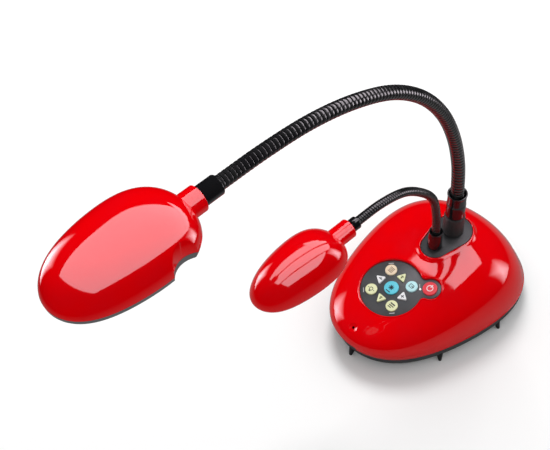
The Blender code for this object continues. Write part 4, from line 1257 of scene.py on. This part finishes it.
    def bars(
        self, rows: Sequence[tuple[float, float, float, float]], low: float, high: float,
    ) -> list[bpy.types.Mesh]:
        """Thin upright boxes, each given by its middle, width and height."""
        return [box("bar", (x - w / 2, y - h / 2, low), (x + w / 2, y + h / 2, high)) for x, y, w, h in rows]

    def spokes(
        self, count: int, length: float, width: float, low: float, high: float, start: float = 0.0,
    ) -> list[bpy.types.Mesh]:
        """Bars through the middle, turned evenly.

        Args:
            count: Number of bars.
            length: A bar's length.
            width: A bar's width.
            low: Height of their underside.
            high: Height of their top.
            start: The first bar's turn in degrees.

        Returns:
            The bars.
        """
        made = []
        for i in range(count):
            bar = box("spoke", (-length / 2, -width / 2, low), (length / 2, width / 2, high))
            made.append(moved(bar, Matrix.Rotation(math.radians(start + 180.0 * i / count), 4, "Z")))
        return made

    def ring_mark(self, radius: float, width: float, low: float, high: float) -> bpy.types.Mesh:
        """Flat printed ring."""
        inner = radius - width
        return turned("ring", ((inner, high), (radius, high), (radius, low), (inner, low)), 40)

    def icon(self, key: Key) -> bpy.types.Mesh:
        """Printed sign of a key, a little proud of its cap.

        Args:
            key: The key.

        Returns:
            The sign as thin bodies, about the key's middle.
        """
        low, high = self.key_top - 0.0006, self.key_top + 0.00004
        if key.icon is Icon.FLAKE:
            parts = self.spokes(4, 0.0052, 0.0008, low, high)
            parts += self.bars([(0.0, -0.0046, 0.0046, 0.0009)], low, high)
        elif key.icon is Icon.SOURCE:
            parts = self.bars([(-0.0003, 0.0016, 0.0042, 0.0005), (-0.0003, -0.0016, 0.0042, 0.0005),
                               (-0.0022, 0.0, 0.0005, 0.0037), (0.0010, 0.0, 0.0032, 0.0006),
                               (0.0018, 0.0008, 0.0006, 0.0016), (0.0018, -0.0008, 0.0006, 0.0016)], low, high)
        elif key.icon is Icon.LIST:
            parts = self.bars([(0.0003, 0.0021 - 0.0014 * i, 0.0048, 0.0007) for i in range(4)], low, high)
        elif key.icon is Icon.LAMP:
            parts = [self.ring_mark(0.0019, 0.0006, low, high)]
            parts += self.bars([(0.0, -0.0024, 0.0016, 0.0009)], low, high)
            parts += self.bars([(0.0032, 0.0, 0.0012, 0.0005), (-0.0032, 0.0, 0.0012, 0.0005)], low, high)
        elif key.icon is Icon.FLASH:
            parts = self.bars([(0.0, 0.0016, 0.0052, 0.0012), (0.0, -0.0004, 0.0052, 0.0009),
                               (-0.0008, -0.0022, 0.0036, 0.0008)], low, high)
        elif key.icon is Icon.POWER:
            parts = [self.ring_mark(0.0031, 0.0007, low, high)]
            parts += self.bars([(0.0, 0.0026, 0.0009, 0.0030)], low, high)
        elif key.icon is Icon.TREE:
            parts = self.bars([(0.0, 0.0, 0.0007, 0.0034), (0.0, 0.0008, 0.0028, 0.0006),
                               (0.0, -0.0006, 0.0018, 0.0006)], low - 0.0002, high)
        elif key.icon is Icon.PLUS:
            parts = self.bars([(0.0, 0.0, 0.0036, 0.0007), (0.0, 0.0, 0.0007, 0.0032)], low - 0.0002, high)
        else:
            parts = self.bars([(0.0, 0.0, 0.0034, 0.0007), (0.0, 0.0010, 0.0018, 0.0005)], low - 0.0002, high)
        return merged(key.node + "_sign", parts)

    def build(self) -> None:
        """Make the panel with its holes, then each key with its sign."""
        panel = plate("keypad_film", self.outline, -self.thickness, 0.0, 0.00025)
        spots = [(key, *self.key_spot(key)) for key in self.keys]
        for key, spot, size in spots:
            hole = prism("key_hole", self.key_outline(key, size, self.key_gap), -0.004, 0.002)
            panel = carve(panel, moved(hole, Matrix.Translation(spot)))
        led_low, led_high = spans("power_led", self.place)
        led_spot = Matrix.Translation(((led_low.x + led_high.x) / 2, (led_low.y + led_high.y) / 2, 0.0))
        panel = carve(panel, moved(prism("led_hole", circle(0.00115, 32), -0.004, 0.002), led_spot))
        add_piece(moved(panel, self.place), PANEL_FILM, "base", "keypad_panel")
        for key, spot, size in spots:
            here = self.place @ Matrix.Translation(spot)
            add_piece(moved(self.cap(key, size), here), key.finish, key.node, key.node)
            add_piece(moved(self.icon(key), here), key.ink, key.node)
        lens = turned("power_led_lens", ((0.0, 0.00055), (0.0004, 0.0005), (0.0008, 0.00025), (0.00095, -0.0002),
                                         (0.00095, -0.003), (0.0, -0.003)), 32)
        add_piece(moved(lens, self.place @ led_spot), LIGHT_DOT, "base", "power_led")
        self.labels(spots)

    def labels(self, spots: Sequence[tuple[Key, Vector, float]]) -> None:
        """Blank label bars outside the round keys.

        Args:
            spots: Each key with its middle and its radius.
        """
        bars = []
        for key, spot, size in spots:
            if key.angle is not None or spot.length < 0.001 or key.node == "key_power":
                continue
            out = spot.normalized()
            spin = Matrix.Rotation(math.atan2(out.y, out.x) + math.radians(90), 4, "Z")
            bar = box("label", (-0.0024, -0.00035, -0.0001), (0.0024, 0.00035, 0.00003))
            bars.append(moved(bar, Matrix.Translation(spot + (size + 0.0017) * out) @ spin))
        add_piece(moved(merged("keypad_labels", bars), self.place), LABEL_INK, "base")


# ---- Arm mounts -------------------------------------------------------------------------------
@dataclass
class ArmMounts:
    """Tapered plate, sleeve and collars at the feet of both goosenecks."""

    radii: tuple[float, float] = (0.0180, 0.0127)
    tilt: float = 5.7
    place: Matrix = field(init=False)
    length: float = field(init=False)

    def __post_init__(self) -> None:
        """Find the plate's frame under the main arm."""
        turn = Matrix.Rotation(math.radians(self.tilt), 4, "X")
        low, high = spans("arm_plate", turn)
        self.place = turn @ Matrix.Translation((0.0, high.y - self.radii[0], high.z))
        self.length = high.y - low.y - sum(self.radii)

    def outline(self, grow: float = 0.0) -> Ring:
        """Tapered oval, big end at the main arm.

        Args:
            grow: How far the outline is moved outwards.

        Returns:
            The outline, in the plate's frame.
        """
        big, small = self.radii[0] + grow, self.radii[1] + grow
        lean = math.degrees(math.asin((big - small) / self.length))
        points = arc(Vector((0.0, 0.0, 0.0)), big, -lean, 180 + lean, 64)
        left, right = (180 + lean), (360 - lean)
        far = arc(Vector((0.0, -self.length, 0.0)), small, left, right, 48)
        fill = [points[-1].lerp(far[0], share) for share in (0.25, 0.5, 0.75)]
        back = [far[-1].lerp(points[0], share) for share in (0.25, 0.5, 0.75)]
        return points + fill + far + back

    def cover(self) -> None:
        """Plate with a rounded edge and a bore for each neck."""
        mesh = plate("arm_plate_cover", self.outline, -0.0030, 0.0, 0.0004)
        for y, radius in ((0.0, 0.0050), (-self.length, 0.0034)):
            bore = moved(prism("bore", circle(radius, 48), -0.006, 0.004), Matrix.Translation((0.0, y, 0.0)))
            mesh = carve(mesh, bore)
        add_piece(moved(mesh, self.place), PLATE_PLASTIC, "base", "arm_plate")

    def upright(
        self, node: str, finish: Finish, profile: Sequence[tuple[float, float]], steps: int = 96,
    ) -> None:
        """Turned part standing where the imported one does; heights are from its foot."""
        low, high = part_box(node)
        middle = (low + high) / 2
        mesh = turned(node + "_turned", profile, steps)
        add_piece(moved(mesh, Matrix.Translation((middle.x, middle.y, low.z))), finish, "base", node)

    def build(self) -> None:
        """Make the plate, then the sleeve and both collars."""
        self.cover()
        low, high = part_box("arm_sleeve")
        tall = high.z - low.z
        sleeve = ((0.0050, tall), (0.0092, tall), (0.0097, tall - 0.0012), (0.0097, 0.0), (0.0050, 0.0))
        self.upright("arm_sleeve", SLEEVE_RUBBER, rounded(sleeve, 0.0003, True))
        low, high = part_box("arm_collar")
        tall = high.z - low.z
        collar = (
            (0.0078, tall - 0.0002), (0.0080, tall), (0.0091, tall),
            (0.0092, tall - 0.0002), (0.0092, tall - 0.0016),
            (0.0086, tall - 0.0030), (0.0087, 0.0165), (0.0090, 0.0150), (0.0090, 0.0010), (0.0086, 0.0),
            (0.0050, 0.0), (0.0050, tall - 0.0060), (0.0070, tall - 0.0052),
        )
        self.upright("arm_collar", BLACK_GLOSS, rounded(collar, 0.0003, True))
        low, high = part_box("lamp_collar")
        tall = high.z - low.z
        collar = (
            (0.0056, tall - 0.0002), (0.0058, tall), (0.0065, tall),
            (0.0066, tall - 0.0002), (0.0066, tall - 0.0011),
            (0.0061, tall - 0.0024), (0.0069, 0.0030), (0.0072, 0.0010), (0.0070, 0.0),
            (0.0034, 0.0), (0.0034, tall - 0.0050), (0.0050, tall - 0.0044),
        )
        self.upright("lamp_collar", BLACK_GLOSS, rounded(collar, 0.0003, True))


# ---- Goosenecks -------------------------------------------------------------------------------
@dataclass
class Gooseneck:
    """Ribbed hose through a chain of hinges, made in pieces that each reach between two links."""

    name: str
    links: tuple[str, ...]
    bodies: tuple[str, ...]
    start: Vector
    end: Vector
    radius: float
    ribs: int
    groove: float
    steps: int = 44
    path: list[Vector] = field(init=False)
    reach: list[float] = field(init=False)

    def __post_init__(self) -> None:
        """Fine path through the start, every hinge and the end."""
        hinges = []
        for parent, child in zip(self.bodies, self.bodies[1:]):
            joint = next(j for j in frame["joints"] if (j["parent"], j["child"]) == (parent, child))
            hinges.append(Vector(joint["pos_m"]))
        knots = [self.start, *hinges, self.end]
        knots = [2 * knots[0] - knots[1], *knots, 2 * knots[-1] - knots[-2]]
        self.path = []
        for a, b, c, d in zip(knots, knots[1:], knots[2:], knots[3:]):
            for i in range(40):
                t = i / 40
                cubic = (3 * b - a - 3 * c + d) * t**3
                self.path.append((2 * b + (c - a) * t + (2 * a - 5 * b + 4 * c - d) * t * t + cubic) / 2)
        self.path.append(knots[-2])
        self.reach = [0.0]
        for a, b in zip(self.path, self.path[1:]):
            self.reach.append(self.reach[-1] + (b - a).length)
        self.hinge_reach = [self.reach[40 * i] for i in range(len(hinges) + 2)]

    def place_at(self, reach: float) -> tuple[Vector, Vector]:
        """Point and direction at a distance along the path."""
        k = next((j for j in range(1, len(self.reach)) if self.reach[j] >= reach - 1e-9), len(self.reach) - 1)
        share = (reach - self.reach[k - 1]) / (self.reach[k] - self.reach[k - 1])
        before, after = self.path[max(k - 2, 0)], self.path[min(k + 1, len(self.path) - 1)]
        return self.path[k - 1].lerp(self.path[k], share), (after - before).normalized()

    def ring(self, reach: float, radius: float) -> Ring:
        """Circle square to the path.

        Args:
            reach: Distance along the path.
            radius: The circle's radius.

        Returns:
            The circle.
        """
        point, ahead = self.place_at(reach)
        side = Vector((1.0, 0.0, 0.0))
        up = ahead.cross(side).normalized()
        turns = [2 * math.pi * i / self.steps for i in range(self.steps)]
        return [point + radius * (math.cos(t) * side + math.sin(t) * up) for t in turns]

    def piece(self, name: str, start: float, end: float, ribs: int) -> bpy.types.Mesh:
        """Closed run of ribs between two distances along the path.

        Args:
            name: The mesh's name.
            start: Distance at its start.
            end: Distance at its end.
            ribs: Number of ribs.

        Returns:
            The closed run.
        """
        pitch = (end - start) / ribs
        deep, shallow = self.radius - self.groove, self.radius - 0.18 * self.groove
        section = ((0.0, deep), (0.07, deep), (0.11, shallow), (0.19, self.radius), (0.62, self.radius),
                   (0.88, shallow), (0.93, deep))
        rings = []
        for i in range(ribs):
            rings += [self.ring(start + (i + share) * pitch, radius) for share, radius in section]
        rings.append(self.ring(end, deep))
        first, last = self.place_at(start)[0], self.place_at(end)[0]
        return loft(name, rings, first, last)

    def build(self) -> None:
        """Make every piece, each standing for a link."""
        cuts = [(a + b) / 2 for a, b in zip(self.hinge_reach, self.hinge_reach[1:])]
        stops = [0.0, *cuts, self.reach[-1]]
        for i, (start, end) in enumerate(zip(stops, stops[1:])):
            whole = 0 < i < len(stops) - 2
            ribs = self.ribs if whole else max(1, round(self.ribs * (end - start) / (cuts[1] - cuts[0])))
            mesh = self.piece(f"{self.name}_run_{i + 1}", start, end, ribs)
            stands_for = self.links[i:i + 1]
            if whole:
                piece = add_piece(mesh, HOSE_STEEL, None, *stands_for)
                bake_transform(piece)
            else:
                add_piece(mesh, HOSE_STEEL, self.bodies[0 if i == 0 else -1], *stands_for)


# ---- Camera head ------------------------------------------------------------------------------
@dataclass
class CameraHead:
    """Camera head with its collar, cover, lens and focus ring, in the frame of its swivel."""

    egg: Egg = Egg(0.0637, 0.0396, 0.116, 0.217)
    neck: float = 0.0102
    seam: float = -0.0025
    rise: float = 0.0312
    cover_depth: float = 0.0055
    collar: float = 0.0110
    notch_radius: float = 0.0180
    notch_centre: tuple[float, float] = (0.0490, 0.0320)
    lens_ahead: float = 0.0140
    segments: int = 192
    place: Matrix = field(init=False)
    centre: Matrix = field(init=False)

    def __post_init__(self) -> None:
        """Find the head's frame from its swivel."""
        self.place = joint_frame("head_swivel")
        self.centre = Matrix.Translation((0.0, -self.neck - self.egg.half_length, self.seam))

    def notch(self, radius: float) -> bpy.types.Mesh:
        """Upright round cutter where the finger notch is."""
        spot = Matrix.Translation((*self.notch_centre, 0.0))
        return moved(prism("notch", circle(radius, 160), -0.030, 0.040), self.centre @ spot)

    def shell(self) -> None:
        """Red dome and collar in one, cut by the notch."""
        dome = Dome(self.egg, self.rise, 2.657, 2.127, grading=0.9)
        mesh = dome.body("head_dome", 72, self.segments, 0.00005, 0.0, ((0.0, -0.0), ))
        mesh = moved(mesh, self.centre)
        wall = ((0.0, -0.0280), (self.collar, -0.0280), (self.collar, -GAP), (0.0, -GAP))
        tube = rounded(wall, 0.0006, False, 5)
        collar = moved(turned("head_collar", tube, 128), UPRIGHT_TO_BACK)
        floor = box("collar_floor", (-0.02, -0.04, -0.03), (0.02, 0.0004 - self.neck, self.seam))
        mesh = carve(mesh, carve(collar, floor), "UNION")
        mesh = carve(mesh, self.notch(self.notch_radius))
        add_piece(moved(mesh, self.place), RED_LACQUER, "head", "head_shell")

    def cover(self) -> None:
        """Shallow grey bowl under the seam, with the lens hole."""
        bowl = Dome(self.egg, -self.cover_depth, 60.0, 3.0, grading=0.25)
        mesh = bowl.body("head_cover_bowl", 40, self.segments, 0.0006)
        mesh = moved(mesh, self.centre @ Matrix.Translation((0.0, 0.0, -GAP)))
        mesh = carve(mesh, self.notch(self.notch_radius))
        hole = moved(prism("lens_hole", circle(0.0112, 96), -0.020, -0.0030), self.centre @ self.lens_spot())
        add_piece(moved(carve(mesh, hole), self.place), COVER_PLASTIC, "head", "head_cover")

    def lens_spot(self) -> Matrix:
        """Lens axis from the egg's middle."""
        return Matrix.Translation((0.0, self.lens_ahead, 0.0))

    def lens(self) -> None:
        """Barrel, glass and a ribbed focus ring."""
        here = self.centre @ self.lens_spot()
        floor = -GAP - self.cover_depth
        ring_low = floor - 0.0072
        barrel = (
            (0.0060, floor + 0.0040), (0.0108, floor + 0.0040), (0.0108, ring_low - 0.0006),
            (0.0100, ring_low - 0.0014), (0.0088, ring_low - 0.0014), (0.0084, ring_low - 0.0004),
            (0.0080, ring_low - 0.0004), (0.0076, ring_low + 0.0006), (0.0072, ring_low + 0.0006),
            (0.0068, ring_low + 0.0014), (0.0060, ring_low + 0.0014),
        )
        mesh = turned("lens_barrel_turned", rounded(barrel, 0.00015, True), 96)
        add_piece(moved(mesh, self.place @ here), BLACK_GLOSS, "head", "lens_barrel")
        glass = [(0.0, ring_low + 0.0042), (0.0057, ring_low + 0.0042), (0.0057, ring_low + 0.0026)]
        glass += [(0.0057 * s, ring_low + 0.0014 + 0.0012 * s * s) for s in (0.9, 0.75, 0.6, 0.45, 0.3, 0.15)]
        glass.append((0.0, ring_low + 0.0014))
        mesh = turned("lens_glass_turned", glass, 72)
        add_piece(moved(mesh, self.place @ here), LENS_GLASS, "head", "lens_glass")
        self.focus_ring(floor, ring_low, here)

    def focus_ring(self, floor: float, ring_low: float, here: Matrix) -> None:
        """Ring with fine grips all round.

        Args:
            floor: Height of the cover's underside.
            ring_low: Height of the ring's underside.
            here: The lens axis in the head's frame.
        """
        count, grips = 540, 60
        sections = ((0.0114, floor - GAP, 0.0), (0.0192, floor - GAP, 0.0), (0.0205, floor - 0.0012, 1.0),
                    (0.0205, ring_low + 0.0012, 1.0), (0.0195, ring_low, 0.0), (0.0114, ring_low, 0.0))
        rings = []
        for radius, height, share in sections:
            ring = circle(1.0, count)
            for i, point in enumerate(ring):
                wave = max(0.0, math.cos(grips * 2 * math.pi * i / count))
                size = radius - 0.0006 * share * (1 - wave)
                ring[i] = Vector((size * point.x, size * point.y, height))
            rings.append(ring)
        mesh = loft("focus_ring_grips", rings, wrap=True)
        add_piece(moved(mesh, self.place @ here), FOOT_RUBBER, "focus", "focus_ring")

    def ferrule(self) -> None:
        """Polished sleeve behind the collar."""
        length = 0.0180
        profile = ((0.0068, length - 0.0002), (0.0070, length), (0.0078, length), (0.0085, length - 0.0009),
                   (0.0085, 0.0006),
                   (0.0081, 0.0), (0.0045, 0.0), (0.0045, length - 0.0040), (0.0066, length - 0.0040))
        mesh = turned("head_ferrule_turned", rounded(profile, 0.0003, True), 96)
        add_piece(moved(mesh, self.place @ UPRIGHT_TO_BACK), BLACK_GLOSS, "neck_9", "head_ferrule")

    def build(self) -> None:
        """Make the whole head."""
        self.shell()
        self.cover()
        self.lens()
        self.ferrule()


# ---- Lamp head --------------------------------------------------------------------------------
@dataclass
class LampHead:
    """Lamp head with its collar, bezel and diffuser, in the frame of its swivel."""

    egg: Egg = Egg(0.0473, 0.0259, 0.131, 0.238)
    neck: float = 0.0118
    seam: float = -0.0060
    rise: float = 0.0300
    drop: float = 0.0090
    opening: float = 0.0065
    wall: float = 0.0018
    collar: float = 0.0087
    segments: int = 176
    place: Matrix = field(init=False)
    centre: Matrix = field(init=False)

    def __post_init__(self) -> None:
        """Find the lamp's frame from its swivel."""
        self.place = joint_frame("lamp_swivel")
        self.centre = Matrix.Translation((0.0, -self.neck - self.egg.half_length, self.seam))

    def shell(self) -> None:
        """Red case and collar in one, cut flat below."""
        upper = Dome(self.egg, self.rise, 2.485, 1.509, grading=0.9).rings(60, self.segments, 0.00005)
        lower = Dome(self.egg, -self.drop, 4.0, 2.0, grading=0.9).rings(24, self.segments, 0.00005)[::-1]
        top, bottom = Vector((0.0, 0.0, self.rise)), Vector((0.0, 0.0, -self.drop))
        mesh = loft("lamp_case", upper + lower[1:], top, bottom)
        mesh = moved(mesh, self.centre)
        wall = ((0.0, -0.0280), (self.collar, -0.0280), (self.collar, -GAP), (0.0, -GAP))
        tube = rounded(wall, 0.0005, False, 5)
        mesh = carve(mesh, moved(turned("lamp_collar_tube", tube, 112), UPRIGHT_TO_BACK), "UNION")
        flat = self.seam - self.opening
        slab = box("lamp_cut", (-0.040, -0.120, flat - 0.010), (0.040, 0.0005 - self.neck, flat))
        mesh = carve(mesh, slab)
        inside = self.egg.outline(144, self.wall, 0.79)
        well = moved(prism("lamp_well", inside, -0.020, -self.opening + 0.0035), self.centre)
        add_piece(moved(carve(mesh, well), self.place), RED_LACQUER, "lamp", "lamp_shell")

    def light(self) -> None:
        """Bezel and milky diffuser in the open underside."""
        low = -self.opening
        at_lamp = self.place @ self.centre

        def scaled(share: float) -> Outline:
            """The opening's outline at a share of its size."""
            return lambda grow: self.egg.outline(144, self.wall - grow, share)

        bezel = plate("lamp_bezel_ring", scaled(0.77), low + 0.0002, low + 0.0022, 0.0003)
        bezel = carve(bezel, prism("bezel_hole", self.egg.outline(144, self.wall, 0.69), low - 0.004, low + 0.006))
        add_piece(moved(bezel, at_lamp), PLATE_PLASTIC, "lamp", "lamp_bezel")
        pane = plate("lamp_diffuser_pane", scaled(0.685), low + 0.0006, low + 0.0020, 0.0003)
        add_piece(moved(pane, at_lamp), DIFFUSER, "lamp", "lamp_diffuser")

    def ferrule(self) -> None:
        """Short sleeve behind the collar."""
        length = 0.0088
        profile = ((0.0047, length - 0.0002), (0.0048, length), (0.0052, length), (0.0057, length - 0.0006),
                   (0.0057, 0.0005),
                   (0.0054, 0.0), (0.0028, 0.0), (0.0028, length - 0.0040), (0.0045, length - 0.0040))
        mesh = turned("lamp_ferrule_turned", rounded(profile, 0.0002, True), 80)
        add_piece(moved(mesh, self.place @ UPRIGHT_TO_BACK), BLACK_GLOSS, "lamp_neck_6", "lamp_ferrule")

    def build(self) -> None:
        """Make the whole lamp."""
        self.shell()
        self.light()
        self.ferrule()


# ---- Hidden parts -----------------------------------------------------------------------------
def dress_inner_parts() -> None:
    """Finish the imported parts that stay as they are, inside the housings."""
    inner = {
        "ballast_plate": STEEL, "mic_capsule": STEEL, "head_screw_1": STEEL, "head_screw_2": STEEL,
        "main_board": BOARD, "keypad_board": BOARD, "sensor_board": BOARD, "led_board": BOARD,
    }
    for node, finish in inner.items():
        mesh = frame["nodes"][node].data
        mesh.materials.clear()
        mesh.materials.append(SHOP.material(finish))
        LOG.info("%s: kept, %s", node, finish.name)


# ---- Studio -----------------------------------------------------------------------------------
@dataclass(frozen=True)
class SoftBox:
    """Glowing panel that shows only in the gloss of the named pieces."""

    name: str
    middle: tuple[float, float, float]
    facing: tuple[float, float, float]
    size: tuple[float, float]
    glow: float
    seen_by: tuple[str, ...] = ()
    fade: float = 0.02


@dataclass
class Studio:
    """Pale floor, soft lights and the camera."""

    azimuth: float = 47.22
    elevation: float = 50.28
    lens: float = 108.0
    target: tuple[float, float, float] = (-0.1526, 0.1021, 0.0131)
    distance: float = 1.6
    floor_size: float = 1.7
    ambient: float = 0.72
    key_energy: float = 13.0
    boxes: tuple[SoftBox, ...] = (
        SoftBox(
            "soft_box_above", (0.055, 0.295, 0.57), (0.0, 0.0, -1.0), (0.51, 1.41), 4.6,
            ("head_dome", "lamp_case"),
        ),
        SoftBox("soft_box_behind", (-0.035, 0.325, 0.50), (0.0, 0.0, -1.0), (0.33, 0.29), 4.6),
        SoftBox("soft_box_aside", (0.90, 0.10, 0.57), (0.0, 0.0, -1.0), (1.10, 0.90), 4.6, ("lamp_case",)),
        SoftBox("soft_box_left", (-0.75, -0.30, 0.22), (0.9, 0.4, -0.10), (0.46, 0.80), 10.0, (), 0.9),
        SoftBox("soft_box_right", (0.42, 0.80, 0.22), (-0.50, -0.85, -0.10), (0.40, 0.80), 7.0, (), 0.9),
    )

    def camera(self) -> None:
        """Camera at a three-quarter view from above."""
        turn, up = math.radians(self.azimuth), math.radians(self.elevation)
        back = Vector((math.sin(turn) * math.cos(up), -math.cos(turn) * math.cos(up), math.sin(up)))
        data = bpy.data.cameras.new("camera")
        data.lens = self.lens
        data.sensor_width = 36.0
        camera = bpy.data.objects.new("camera", data)
        camera.location = Vector(self.target) + self.distance * back
        camera.rotation_mode = "QUATERNION"
        camera.rotation_quaternion = (-back).to_track_quat("-Z", "Y")
        bpy.context.scene.collection.objects.link(camera)
        bpy.context.scene.camera = camera

    def world(self) -> None:
        """White to the camera, soft white light for matt surfaces, dark in the gloss."""
        world = bpy.data.worlds.new("studio")
        bpy.context.scene.world = world
        world.use_nodes = True
        nodes = NodeTree(world.node_tree)
        background = world.node_tree.nodes["Background"]
        background.inputs["Color"].default_value = (1.0, 1.0, 1.0, 1.0)
        path = nodes.add("ShaderNodeLightPath")
        ambient = nodes.add("ShaderNodeMapRange", to_min=self.ambient, to_max=0.0)
        nodes.link(path.outputs["Is Glossy Ray"], ambient.inputs["Value"])
        seen = nodes.add("ShaderNodeMath", operation="MAXIMUM")
        nodes.link(ambient.outputs["Result"], seen.inputs[0])
        nodes.link(path.outputs["Is Camera Ray"], seen.inputs[1])
        nodes.link(seen.outputs["Value"], background.inputs["Strength"])

    def floor(self) -> None:
        """Wide pale floor that is dimmer in the gloss of the object, and fades with distance there."""
        half = self.floor_size / 2
        mesh = box("floor", (-half, -half, -0.02), (half, half, 0.0))
        floor = bpy.data.objects.new("floor", mesh)
        bpy.context.scene.collection.objects.link(floor)
        material = bpy.data.materials.new("floor")
        material.use_nodes = True
        nodes = NodeTree(material.node_tree)
        shader = material.node_tree.nodes["Principled BSDF"]
        path = nodes.add("ShaderNodeLightPath")
        place = nodes.add("ShaderNodeTexCoord")
        reach = nodes.add("ShaderNodeVectorMath", operation="LENGTH")
        nodes.link(place.outputs["Object"], reach.inputs[0])
        fade = nodes.add("ShaderNodeMapRange", from_min=0.15, from_max=0.75, to_min=0.30, to_max=0.0)
        nodes.link(reach.outputs["Value"], fade.inputs["Value"])
        pale = nodes.add("ShaderNodeMapRange", to_min=0.5, to_max=0.95)
        nodes.link(path.outputs["Is Camera Ray"], pale.inputs["Value"])
        mix = nodes.add("ShaderNodeMix", data_type="FLOAT")
        nodes.link(path.outputs["Is Glossy Ray"], mix.inputs["Factor"])
        nodes.link(pale.outputs["Result"], mix.inputs["A"])
        nodes.link(fade.outputs["Result"], mix.inputs["B"])
        nodes.link(mix.outputs["Result"], shader.inputs["Base Color"])
        shader.inputs["Roughness"].default_value = 0.9
        shader.inputs["Specular IOR Level"].default_value = 0.0
        mesh.materials.append(material)

    def soft_box(self, spec: SoftBox) -> None:
        """One glowing panel; with names in seen_by it lights only those pieces.

        Args:
            spec: The panel's place, size and glow.
        """
        width, height = spec.size
        mesh = box(spec.name, (-width / 2, -height / 2, -0.001), (width / 2, height / 2, 0.0))
        panel = bpy.data.objects.new(spec.name, mesh)
        turn = Vector(spec.facing).to_track_quat("Z", "Y").to_matrix().to_4x4()
        panel.matrix_world = Matrix.Translation(spec.middle) @ turn
        bpy.context.scene.collection.objects.link(panel)
        material = bpy.data.materials.new(spec.name)
        material.use_nodes = True
        shader = material.node_tree.nodes["Principled BSDF"]
        shader.inputs["Base Color"].default_value = (0.0, 0.0, 0.0, 1.0)
        shader.inputs["Specular IOR Level"].default_value = 0.0
        shader.inputs["Emission Color"].default_value = (1.0, 0.91, 0.98, 1.0)
        nodes = NodeTree(material.node_tree)
        place = nodes.add("ShaderNodeTexCoord")
        scaled = nodes.add("ShaderNodeVectorMath", operation="MULTIPLY")
        scaled.inputs[1].default_value = (2 / width, 2 / height, 0.0)
        nodes.link(place.outputs["Object"], scaled.inputs[0])
        sides = nodes.add("ShaderNodeVectorMath", operation="ABSOLUTE")
        nodes.link(scaled.outputs["Vector"], sides.inputs[0])
        split = nodes.add("ShaderNodeSeparateXYZ")
        nodes.link(sides.outputs["Vector"], split.inputs["Vector"])
        edge = nodes.add("ShaderNodeMath", operation="MAXIMUM")
        nodes.link(split.outputs["X"], edge.inputs[0])
        nodes.link(split.outputs["Y"], edge.inputs[1])
        inner = 1.0 - spec.fade
        glow = nodes.add("ShaderNodeMapRange", from_min=inner, from_max=1.0, to_min=spec.glow, to_max=0.0)
        nodes.link(edge.outputs["Value"], glow.inputs["Value"])
        nodes.link(glow.outputs["Result"], shader.inputs["Emission Strength"])
        mesh.materials.append(material)
        panel.visible_camera = False
        panel.visible_diffuse = False
        panel.visible_shadow = False
        if spec.seen_by:
            receivers = bpy.data.collections.new(spec.name + "_receivers")
            for name in spec.seen_by:
                receivers.objects.link(bpy.data.objects[name])
            panel.light_linking.receiver_collection = receivers

    def key_light(self) -> None:
        """Large soft light from behind on the left, for the shadow."""
        data = bpy.data.lights.new("key_light", "AREA")
        data.shape = "DISK"
        data.size = 0.7
        data.energy = self.key_energy
        light = bpy.data.objects.new("key_light", data)
        toward = Vector((-0.40, 0.28, 0.87)).normalized()
        light.location = Vector((0.0, 0.1, 0.05)) + 1.6 * toward
        light.rotation_mode = "QUATERNION"
        light.rotation_quaternion = toward.to_track_quat("Z", "Y")
        light.visible_glossy = False
        bpy.context.scene.collection.objects.link(light)

    def build(self) -> None:
        """Set up the studio round the finished pieces."""
        bpy.context.scene.view_settings.view_transform = "Standard"
        self.camera()
        self.world()
        self.floor()
        self.key_light()
        for spec in self.boxes:
            self.soft_box(spec)


def main() -> None:
    """Build every sub-assembly in order."""
    logging.basicConfig(level=logging.INFO, format="%(message)s")
    keypad, arms = Keypad(), ArmMounts()
    BaseShell().build(keypad, arms)
    BaseUnderside().build()
    Connectors().build()
    keypad.build()
    arms.build()
    lamp, head = LampHead(), CameraHead()
    arm_top, lamp_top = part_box("arm_collar")[1].z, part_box("lamp_collar")[1].z
    arm_y = sum(corner.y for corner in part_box("arm_collar")) / 2
    lamp_y = sum(corner.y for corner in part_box("lamp_collar")) / 2
    Gooseneck(
        "main_hose", tuple(f"neck_link_{i}" for i in range(1, 10)),
        ("base", *(f"neck_{i}" for i in range(2, 10))),
        Vector((0.0, arm_y, arm_top - 0.0035)), head.place @ Vector((0.0, 0.0172, 0.0)), 0.0062, 11, 0.0009,
    ).build()
    Gooseneck(
        "lamp_hose", tuple(f"lamp_link_{i}" for i in range(1, 7)),
        ("base", *(f"lamp_neck_{i}" for i in range(2, 7))),
        Vector((0.0, lamp_y, lamp_top - 0.0028)), lamp.place @ Vector((0.0, 0.0080, 0.0)),
        0.00405, 11, 0.0006, 36,
    ).build()
    head.build()
    lamp.build()
    dress_inner_parts()
    Studio().build()


if __name__ == "__main__":
    main()
